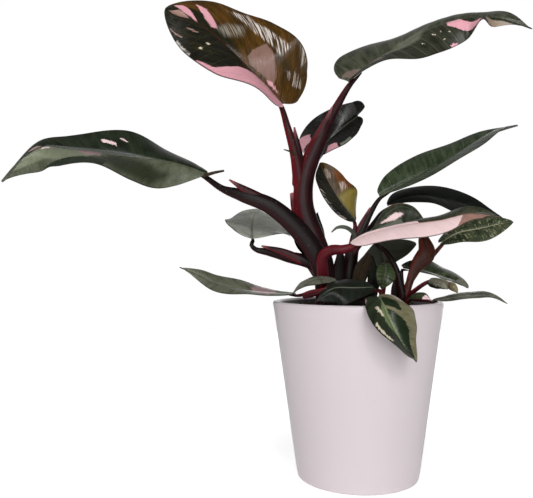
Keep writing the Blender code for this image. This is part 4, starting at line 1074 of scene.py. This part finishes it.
# %% The shoots' table
SHOOTS = {
    "stem_main": dict(stalks=(
        dict(leaf="leaf_crown_left", under=14, flat=0.8,
             path=((-28, -2, 150), (-29, 0, 177), (-40, 1, 214), (-47.5, 1, 244), (-53, -2, 275),
                   (-59.5, -4, 297)),
             width=(8, 9, 8, 6.8, 4.8, 3.2, 2.2)),
        dict(leaf="leaf_crown_right", under=14, flat=0.7,
             path=((-27, -4, 150), (-29, -3, 180), (-37, -2, 203), (-46, -1, 231), (-44, 1, 258),
                   (-33, 3, 286), (-20, 6, 312)),
             width=(8, 9, 9.5, 9, 8, 7, 4, 2.4)),
        dict(leaf="leaf_far_left", under=14, flat=0.6,
             path=((-28, -6, 150), (-31, -9, 178), (-48, -12, 206), (-74, -15, 229), (-97, -16, 238),
                   (-115, -14, 244)),
             width=(8, 9, 8.5, 7.5, 6, 3, 2.2)),
        dict(leaf="leaf_low_left", under=8, flat=0.7,
             path=((-30, -4, 160), (-36, -4, 179), (-60, -2, 187), (-76, 0, 191), (-87, 0, 193),
                   (-91, -2, 197)),
             width=(5, 6, 5, 3.6, 2.2, 1.9, 1.7)),
        dict(leaf="leaf_long_pink", under=13, flat=0.9,
             path=((-28, -6, 155), (-31, -16, 176), (-31, -20, 187), (-24, -23, 192), (-15, -25, 192.5)),
             width=(5, 5, 4.8, 4.5, 3.9, 3.1)),
        dict(leaf="leaf_dark_middle", under=8,
             path=((-33, 4, 190), (-40, 12, 232), (-36, 30, 268), (-22, 50, 290), (0, 54, 311)),
             width=(4, 3.5, 3, 2.4, 2, 1.6)),
        dict(leaf="leaf_behind_stem", under=5,
             path=((-30, 2, 165), (-37, 14, 174), (-42, 22, 182)),
             width=(4, 2.5, 1.8, 1.5)),
        dict(leaf="leaf_rim_left", under=6,
             path=((-30, -6, 157), (-40, -6, 156.5), (-48, -5.5, 154)),
             width=(3, 2, 1.5, 1.2)),
        dict(leaf="leaf_grey_left", under=4,
             path=((-28, -8, 158), (-22, -18, 162), (-18.5, -22.5, 165)),
             width=(2.5, 1.6, 1.3, 1.0))),
        sheaths=(
            dict(path=((-46, -1, 250), (-41, 0, 264), (-33, 1, 288), (-21, 2, 317)),
                 width=(6, 6.5, 4, 0.8)),
            dict(path=((-50, 0, 250), (-51, -3, 276), (-54, -5, 298)), width=(6, 4.5, 0.8)),
            dict(path=((-66, -15, 225), (-88, -17, 238), (-109, -18, 251)), width=(6, 4.5, 0.8)),
            dict(path=((-48, -5, 184), (-64, -5, 191), (-82, -4, 196)), width=(4, 3, 0.8)),
            dict(path=((-44, 0, 212), (-52, -1, 228), (-56, -2, 241)), width=(5, 5, 2)))),
    "stem_right": dict(stalks=(
        dict(leaf="leaf_upright_right", under=12, flat=0.8,
             path=((-5, 8, 150), (-5, 8, 175), (-2, 9, 194), (5, 10, 208), (14, 11, 226)),
             width=(7, 7, 5.5, 4, 2.6, 1.7)),
        dict(leaf="leaf_bronze_middle", under=6,
             path=((-5, 8, 180), (-3, 8, 200), (0, 9, 213)),
             width=(3.5, 2.5, 1.9, 1.5)),
        dict(leaf="leaf_dark_arched", under=10,
             path=((-4, 9, 190), (4, 16, 203), (16, 24, 214), (27, 30, 227)),
             width=(3, 2.6, 2.2, 1.9, 1.6)),
        dict(leaf="leaf_folded", under=5,
             path=((-4, 7, 186), (2, 5, 195), (8, 3, 202)),
             width=(2.6, 2, 1.7, 1.3))),
        sheaths=(
            dict(path=((-1, 8, 198), (5, 9, 213), (13, 9, 230)), width=(4, 3, 0.7)),
            dict(path=((-4, 6, 195), (-2, 2, 206), (-9, -1, 212), (-17, -2, 212), (-22, -3, 208)),
                 width=(2.5, 2, 1.9, 1.5, 0.5)))),
    "stem_side": dict(stalks=(
        dict(leaf="leaf_speckled", under=8, flat=0.9,
             path=((39, -12, 150), (43, -11, 165), (51, -7, 178), (62, 1, 184), (71, 7, 192)),
             width=(3.5, 3.2, 3, 2.3, 1.9, 1.5)),
        dict(leaf="leaf_under_pink", under=8,
             path=((37, -13, 150), (33, -12, 171), (29, -11, 182), (24, -8, 191)),
             width=(3.2, 3, 2.4, 2, 1.6)),
        dict(leaf="leaf_cluster_green", under=5,
             path=((39, -8, 150), (40, 4, 162), (41, 11, 172)),
             width=(2.5, 2, 1.6, 1.3)),
        dict(leaf="leaf_cluster_striped", under=4,
             path=((40, -12, 151), (49, -13, 160), (57, -15, 165.5)),
             width=(2, 1.7, 1.4, 1.1)),
        dict(leaf="leaf_cluster_pale", under=3,
             path=((40, -13, 152), (46, -18, 158), (52, -22, 163)),
             width=(2, 1.5, 1.2, 1.0)),
        dict(leaf="leaf_rim_right", under=4,
             path=((40, -12, 152), (48, -15, 150.5), (55, -19, 150)),
             width=(2, 1.5, 1.2, 1.0)),
        dict(leaf="leaf_rim_small", under=3,
             path=((38, -14, 151), (36.5, -26, 149.5), (35.5, -32, 149)),
             width=(2, 1.5, 1.2, 1.0))),
        sheaths=(
            dict(path=((43, -11, 166), (50, -10, 180), (58, -9, 190), (56, -8, 202)),
                 width=(3.2, 5.5, 8, 5)),)),
    "stem_front": dict(stalks=(
        dict(leaf="leaf_rim_front", under=5,
             path=((13, -41, 150), (14, -40.5, 156), (12.5, -41, 159)),
             width=(2.5, 2, 1.6, 1.3)),
        dict(leaf="leaf_over_rim", under=6,
             path=((13, -42, 150), (11, -47, 153), (10, -51.5, 153.5)),
             width=(2.5, 2, 1.6, 1.3)),
        dict(leaf="leaf_crumpled", under=4,
             path=((14, -40, 150), (18, -30, 163), (22, -23, 177), (21.5, -25, 182)),
             width=(2.2, 1.8, 1.5, 1.3, 1.0))),
        sheaths=()),
}
print("stalks in the table:", sum(len(shoot["stalks"]) for shoot in SHOOTS.values()))

# %% The tube's rule
TUBE_SIDES = 20
RIB_END = 0.5            # a stalk's half-width where it ends under the midrib
STALK_GAP = 0.45         # between a stalk's end and the solid blade above it
SOLID_BLADE = 0.8        # thickness of the solid blades
ROUND, SHEATH_FLAT = 1.0, 0.45
BURIED = 10.0            # how far a stalk that leaves the mix goes on below its first point
IN_MIX_BELOW = 156.0     # a stalk whose first point is lower than this comes out of the mix
WIDE_WAY = (0.15, -1.0, 0.1)         # about the way to the viewer, but along no stalk
CAP_BULGE = 0.6          # how far a rounded end stands out, as a part of its half-width
WIDTH_STEPS, RING_STEP = 65, 2.5
FEWEST_RINGS, MOST_RINGS = 16, 90


def tube_places(path, widths, flat, count):
    """Rings of an oval tube with rounded ends. Its wide way lies across the view from the front."""
    points, _ = smooth_curve(path, count)
    ahead = unit(np.gradient(points, axis=0))
    wide = unit(np.cross(ahead, np.array(WIDE_WAY)))
    deep = np.cross(ahead, wide)
    half = along(np.linspace(0, 1, count), widths)
    cap = np.radians([0, 30, 60])
    order = [0, 0, 0] + list(range(count)) + [count - 1] * 3
    size = np.concatenate([np.sin(cap), np.ones(count), np.sin(cap)[::-1]])
    shift = np.concatenate([-np.cos(cap), np.zeros(count), np.cos(cap)[::-1]]) * CAP_BULGE
    points = points[order] + ahead[order] * (half[order] * shift)[:, None]
    turns = np.linspace(0, 2 * pi, TUBE_SIDES + 1)
    oval = np.cos(turns)[None, :, None] * wide[order][:, None]
    oval = oval + flat * np.sin(turns)[None, :, None] * deep[order][:, None]
    return points[:, None] + (half[order] * size)[:, None, None] * oval


def stalk_end(stalk):
    """Points below a leaf's midrib, where its stalk runs on as the rib."""
    leaf = LEAVES[stalk["leaf"]]
    stations, points, _, normals, length = midrib(leaf)
    droop = max(0.0, -min(leaf["left"][0], leaf["right"][0]))
    drops = np.interp((0, 0.5, 1), (0, 1), (stalk["width"][-1], RIB_END)) + SOLID_BLADE + STALK_GAP
    drops /= cos(radians(droop))
    places = np.array((0, 0.5, 1)) * stalk["under"] / length
    return [along_points(place, stations, points) - drop * along_points(place, stations, normals)
            for place, drop in zip(places, drops)]


def stalk_places(stalk):
    """A stalk's tube, from below the mix or its branching point up to its end under the leaf."""
    path = [np.array(point, float) for point in stalk["path"]]
    path += stalk_end(stalk)
    widths = list(stalk["width"]) + [0.5 * (stalk["width"][-1] + RIB_END), RIB_END]
    if path[0][2] < IN_MIX_BELOW:
        path.insert(0, path[0] - np.array((0, 0, BURIED)))
        widths.insert(0, widths[0])
    runs = np.concatenate([[0], np.cumsum([np.linalg.norm(b - a) for a, b in zip(path, path[1:])])])
    even = list(np.interp(np.linspace(0, runs[-1], WIDTH_STEPS), runs, widths))
    rings = int(np.clip(runs[-1] / RING_STEP, FEWEST_RINGS, MOST_RINGS))
    return tube_places(path, even, stalk.get("flat", ROUND), rings)


ring_counts = [len(stalk_places(stalk)) for shoot in SHOOTS.values() for stalk in shoot["stalks"]]
print("rings of a stalk, from", min(ring_counts), "to", max(ring_counts))

# %% [markdown]
# ### Stalk finish
# The skin is dark maroon with fine lengthwise streaks and pale pores, and its left edge has a painted glow, a
# redder band where light would fall through it. Others are nearly black, crimson, red-brown or green, so one
# recipe takes its colours as numbers. The map's u runs round the stalk and its v along it, so streaks are
# noise that is stretched along v. A sheath's torn end has dried to a dull pink.

# %% Colour the stalks
LEFT_SIDE = 0.56         # where on the way round a stalk, from 0 to 1, its left side lies, with its painted glow of light
TORN_PINK, PORE = (158, 92, 96), (150, 110, 96)
TORN_FROM, TORN_TO = 0.72, 0.97      # a sheath dries between these parts of its length
SKIN_ROUGHNESS, DULL, DRY, SKIN_GLOSS = 0.42, 0.6, 0.8, 0.18


def stalk_finish(name, dark, light, streak, glow, rough=SKIN_ROUGHNESS, torn=None):
    """Streaks of three shades; a painted glow of light on the thin left edge in a fourth, and a torn end in a
    fifth.
    """
    finish, tree, shader = new_finish(name, rough, SKIN_GLOSS)
    flat = node(tree, "UVMap", uv_map="UVMap").outputs["UV"]
    around, lengthwise = node(tree, "SeparateXYZ", {0: flat}).outputs[:2]
    place = node(tree, "TexCoord").outputs["Object"]
    streaks = noise(tree, vector(tree, "MULTIPLY", flat, (22, 1.6, 1)), 1.0, detail=4.0)
    clouds = noise(tree, place, 45.0)
    share = plus(tree, times(tree, streaks, 0.6), times(tree, clouds, 0.5))
    colour = two_tone(tree, ramp(tree, share, 0.42, 0.7), dark, light)
    colour = blend(tree, ramp(tree, streaks, 0.62, 0.7, 0.0, 0.5), colour, shade(*streak))
    # painted light: the left edge turns to the glow colour, as if lit through
    from_left = math(tree, "ABSOLUTE", math(tree, "SUBTRACT", around, LEFT_SIDE))
    side = ramp(tree, math(tree, "MULTIPLY_ADD", clouds, 0.1, from_left), 0.05, 0.22, 1.0, 0.0)
    colour = blend(tree, side, colour, shade(*glow))
    if torn:
        colour = blend(tree, ramp(tree, lengthwise, TORN_FROM, TORN_TO), colour, shade(*torn))
    pores = noise(tree, vector(tree, "MULTIPLY", place, (1, 1, 0.5)), 700.0, detail=1.0)
    pores = times(tree, ramp(tree, pores, 0.72, 0.76), 0.3)
    tree.links.new(blend(tree, pores, colour, shade(*PORE)), shader.inputs["Base Color"])
    bump(tree, shader, plus(tree, streaks, pores), 0.25)
    return finish


# The fourth colour of each is the painted glow on the left edge.
MAROON = stalk_finish("maroon_skin", (34, 6, 9), (66, 11, 17), (104, 28, 32), (110, 12, 22))
BLACK_MAROON = stalk_finish("black_maroon_skin", (18, 5, 7), (48, 9, 14), (92, 30, 34), (96, 12, 22))
DARK_MAROON = stalk_finish("dark_maroon_skin", (10, 5, 5), (26, 9, 10), (60, 28, 26), (44, 9, 14))
CRIMSON = stalk_finish("crimson_skin", (64, 12, 22), (108, 24, 36), (160, 66, 74), (100, 18, 30))
RED_BROWN = stalk_finish("red_brown_skin", (44, 20, 14), (88, 42, 28), (128, 74, 52), (100, 40, 30))
SHEATH = stalk_finish("sheath_skin", (28, 7, 10), (60, 13, 19), (110, 40, 44), (104, 24, 32), torn=TORN_PINK)
GREY_SKIN = stalk_finish("grey_green_skin", (58, 64, 54), (100, 104, 92), (146, 146, 132), (84, 88, 76))
DARK_SKIN = stalk_finish("dark_skin", (9, 5, 5), (24, 13, 12), (60, 46, 42), (34, 12, 14), DULL)
GREEN_SKIN = stalk_finish("green_skin", (12, 16, 8), (30, 38, 20), (64, 74, 48), (22, 28, 14), DULL)
DARK_DRY = stalk_finish("dark_dry_skin", (34, 26, 18), (70, 58, 40), (96, 84, 60), (50, 40, 28), DRY)
print("stalk finishes:", len([finish for finish in bpy.data.materials if finish.name.endswith("_skin")]))

# %% Which stalk gets which finish
STALK_FINISHES = {
    "leaf_crown_right": BLACK_MAROON, "leaf_dark_middle": BLACK_MAROON, "leaf_far_left": DARK_MAROON,
    "leaf_low_left": DARK_MAROON, "leaf_under_pink": DARK_MAROON, "leaf_cluster_green": DARK_MAROON,
    "leaf_upright_right": DARK_MAROON, "leaf_dark_arched": DARK_MAROON, "leaf_long_pink": CRIMSON,
    "leaf_speckled": RED_BROWN}
SHEATH_FINISHES = {"sheath_side_1": RED_BROWN, "sheath_right_2": GREY_SKIN}
print("stalks that aren't plain maroon:", len(STALK_FINISHES))


# %% Make all the stalks and sheaths
SHEATH_RINGS, BIT_RINGS = 24, 20


def make_tube(name, places, finish, node_name):
    """Rolls the places into a closed, smooth tube and dresses it."""
    tube = shaped_grid(name, places)
    tidy_mesh(tube)
    pick(tube)
    bpy.ops.object.shade_smooth()
    return dress(tube, finish, "maroon_stem", node_name)


for shoot_name, shoot in SHOOTS.items():
    for stalk in shoot["stalks"]:
        finish = STALK_FINISHES.get(stalk["leaf"], MAROON)
        make_tube(stalk["leaf"].replace("leaf", "stalk"), stalk_places(stalk), finish, shoot_name)
    for number, sheath in enumerate(shoot["sheaths"], 1):
        name = shoot_name.replace("stem", "sheath") + f"_{number}"
        places = tube_places(sheath["path"], sheath["width"], SHEATH_FLAT, SHEATH_RINGS)
        make_tube(name, places, SHEATH_FINISHES.get(name, SHEATH), shoot_name)
    print(shoot_name, "has", len(shoot["stalks"]), "stalks and", len(shoot["sheaths"]), "sheaths")

# %% [markdown]
# ### Old and torn bits
# A grown plant carries remains: the dried hook of a shed sheath, a withered stub at a leaf's base, the brown
# rag of an old sheath, and at the foot the flat stumps of dead leaves. Each is a thin tube along a few
# points. The table gives its shoot, finish and flatness, then its path and widths.

# %% Make the old bits
BITS = {
    "dry_hook": ("stem_main", DARK_DRY, 1.0,
                 ((-53, -5, 274.5), (-58, -6, 277.2), (-63, -6, 278.8)), (1, 0.8, 0.4)),
    "dry_stub": ("stem_main", DARK_DRY, 0.7,
                 ((-114, -16, 259), (-121, -17, 257.5), (-130, -17, 255)), (0.9, 1.3, 1.6)),
    "scale_tip": ("stem_main", MAROON, 0.5,
                  ((-48, -40, 155), (-38, -44, 158), (-30, -46, 162)), (2.4, 2.6, 0.5)),
    "old_sheath": ("stem_right", DARK_DRY, 0.35, ((0, -8, 165), (3, -10, 176), (8, -12, 188)), (6, 6.5, 3)),
    "dead_base_left": ("stem_main", DARK_SKIN, 0.4,
                       ((-17, 2, 152), (-16, 2, 170), (-14, 1, 188)), (5, 6, 3.5)),
    "dead_base_right": ("stem_right", GREEN_SKIN, 0.4,
                        ((12, -2, 152), (14, -3, 168), (11, -4, 186)), (5, 5.5, 3)),
    "dead_base_side": ("stem_side", DARK_SKIN, 0.4,
                       ((32, -6, 150), (33, -8, 162), (36, -9, 174)), (4.5, 4.5, 1.5)),
    "dead_base_front": ("stem_right", DARK_SKIN, 0.4,
                        ((2, -10, 148), (4, -12, 156), (12, -12, 166)), (6, 6, 2)),
}
for name, (node_name, finish, flat, path, widths) in BITS.items():
    make_tube(name, tube_places(path, widths, flat, BIT_RINGS), finish, node_name)
print("old bits made:", len(BITS))

# %% [markdown]
# ## Floor, light and camera
# The plant stands on a seamless white floor inside a white surround, as in a light tent. The paper glows so
# brightly for the camera that it runs into the white behind it; only near the foot is it dimmer, so that a
# faint shadow shows there. Back at the plant it throws much less light, or the pot would be lit from below.
#
# Four lamps do the rest. A large key lamp in front, a little above the leaves, shapes the pot and hides the
# hanging leaf's shadow behind that leaf. A small glint lamp above it puts narrow highlights on the leaves. A
# fill lamp from the upper left lifts the shaded sides, and a back lamp outlines the dark leaves. The camera
# looks from the photograph's side, almost level.

# %% Floor
FLOOR_SIZE, FLOOR_DROP = 2.4, 0.0002
FLOOR_GLOW = 0.2                     # what the paper throws back at the plant
SHADOW_REACH = (0.08, 0.3)           # in metres from the pot's axis, where the shadow near the foot fades out
SEEN_GLOW = (0.36, 0.75)             # the glow that the camera sees, near the foot and far from it
bpy.ops.object.select_all(action="DESELECT")
bpy.ops.mesh.primitive_plane_add(size=FLOOR_SIZE, location=(0, 0, -FLOOR_DROP))
floor = bpy.context.object
floor.name = "floor"
bpy.ops.object.transform_apply(location=True)
paper, tree, shader = new_finish("white_paper", 0.9, 0.1)
shader.inputs["Base Color"].default_value = (0.93, 0.93, 0.93, 1)
shader.inputs["Emission Color"].default_value = (1, 1, 1, 1)
away = vector(tree, "LENGTH", node(tree, "TexCoord").outputs["Object"])
glow = ramp(tree, away, *SHADOW_REACH, *SEEN_GLOW)
seen = times(tree, node(tree, "LightPath").outputs["Is Camera Ray"], glow)
tree.links.new(plus(tree, seen, FLOOR_GLOW), shader.inputs["Emission Strength"])
floor.data.materials.append(paper)
print("floor:", FLOOR_SIZE, "metres wide")


# %% Lamps
def lamp(name, place, target, size, power):
    """A square soft lamp that shines at a point. Places and sizes are in metres, power in watts."""
    bpy.ops.object.light_add(type="AREA", location=place)
    made = bpy.context.object
    made.name = name
    made.data.size = size
    made.data.energy = power
    made.rotation_euler = (Vector(target) - Vector(place)).to_track_quat("-Z", "Y").to_euler()
    return made


lamp("key_lamp", (0.1, -1.6, 0.6), (0, 0, 0.2), 1.2, 15)
lamp("glint_lamp", (0.19, -1.36, 0.95), (0, 0, 0.3), 0.3, 3.5)
lamp("fill_lamp", (-1.3, -0.8, 1.3), (0, 0, 0.2), 0.6, 6)
lamp("back_lamp", (0.5, 1.7, 0.35), (0, 0, 0.15), 1.2, 6)

# %% Surround
SURROUND_FRONT, SURROUND_BACK, SURROUND_TOP = 0.1, 0.42, 0.16
FRONT_TO_BACK, SIDE_TO_TOP = (-0.2, 0.8), (0.45, 0.9)    # where one brightness gives way to the next
world = bpy.data.worlds.new("white_surround")
bpy.context.scene.world = world
world.use_nodes = True
sky = world.node_tree
toward = node(sky, "SeparateXYZ", {0: node(sky, "TexCoord").outputs["Generated"]})
around = ramp(sky, toward.outputs[1], *FRONT_TO_BACK, SURROUND_FRONT, SURROUND_BACK)
overhead = ramp(sky, toward.outputs[2], *SIDE_TO_TOP)
around = times(sky, around, math(sky, "SUBTRACT", 1.0, overhead))
level = plus(sky, around, times(sky, overhead, SURROUND_TOP))
seen = node(sky, "LightPath").outputs["Is Camera Ray"]
sky.links.new(math(sky, "MAXIMUM", level, seen), sky.nodes["Background"].inputs["Strength"])
sky.nodes["Background"].inputs["Color"].default_value = (1, 1, 1, 1)
bpy.context.scene.view_settings.view_transform = "Standard"
print("surround: front", SURROUND_FRONT, "back", SURROUND_BACK, "top", SURROUND_TOP)

# %% Camera
CAMERA_PLACE = (-0.078, -0.553, 0.180)
CAMERA_RISE = 0.0245                 # the camera looks up by this much, in radians
SENSOR, FOCAL_PIXELS, FRAME_WIDTH = 36.0, 640.0, 533.0
bpy.ops.object.camera_add(location=CAMERA_PLACE, rotation=(pi / 2 + CAMERA_RISE, 0, 0))
camera = bpy.context.object
camera.data.sensor_width = SENSOR
camera.data.lens = FOCAL_PIXELS / FRAME_WIDTH * SENSOR
bpy.context.scene.camera = camera
print("lens in mm:", round(camera.data.lens, 2))
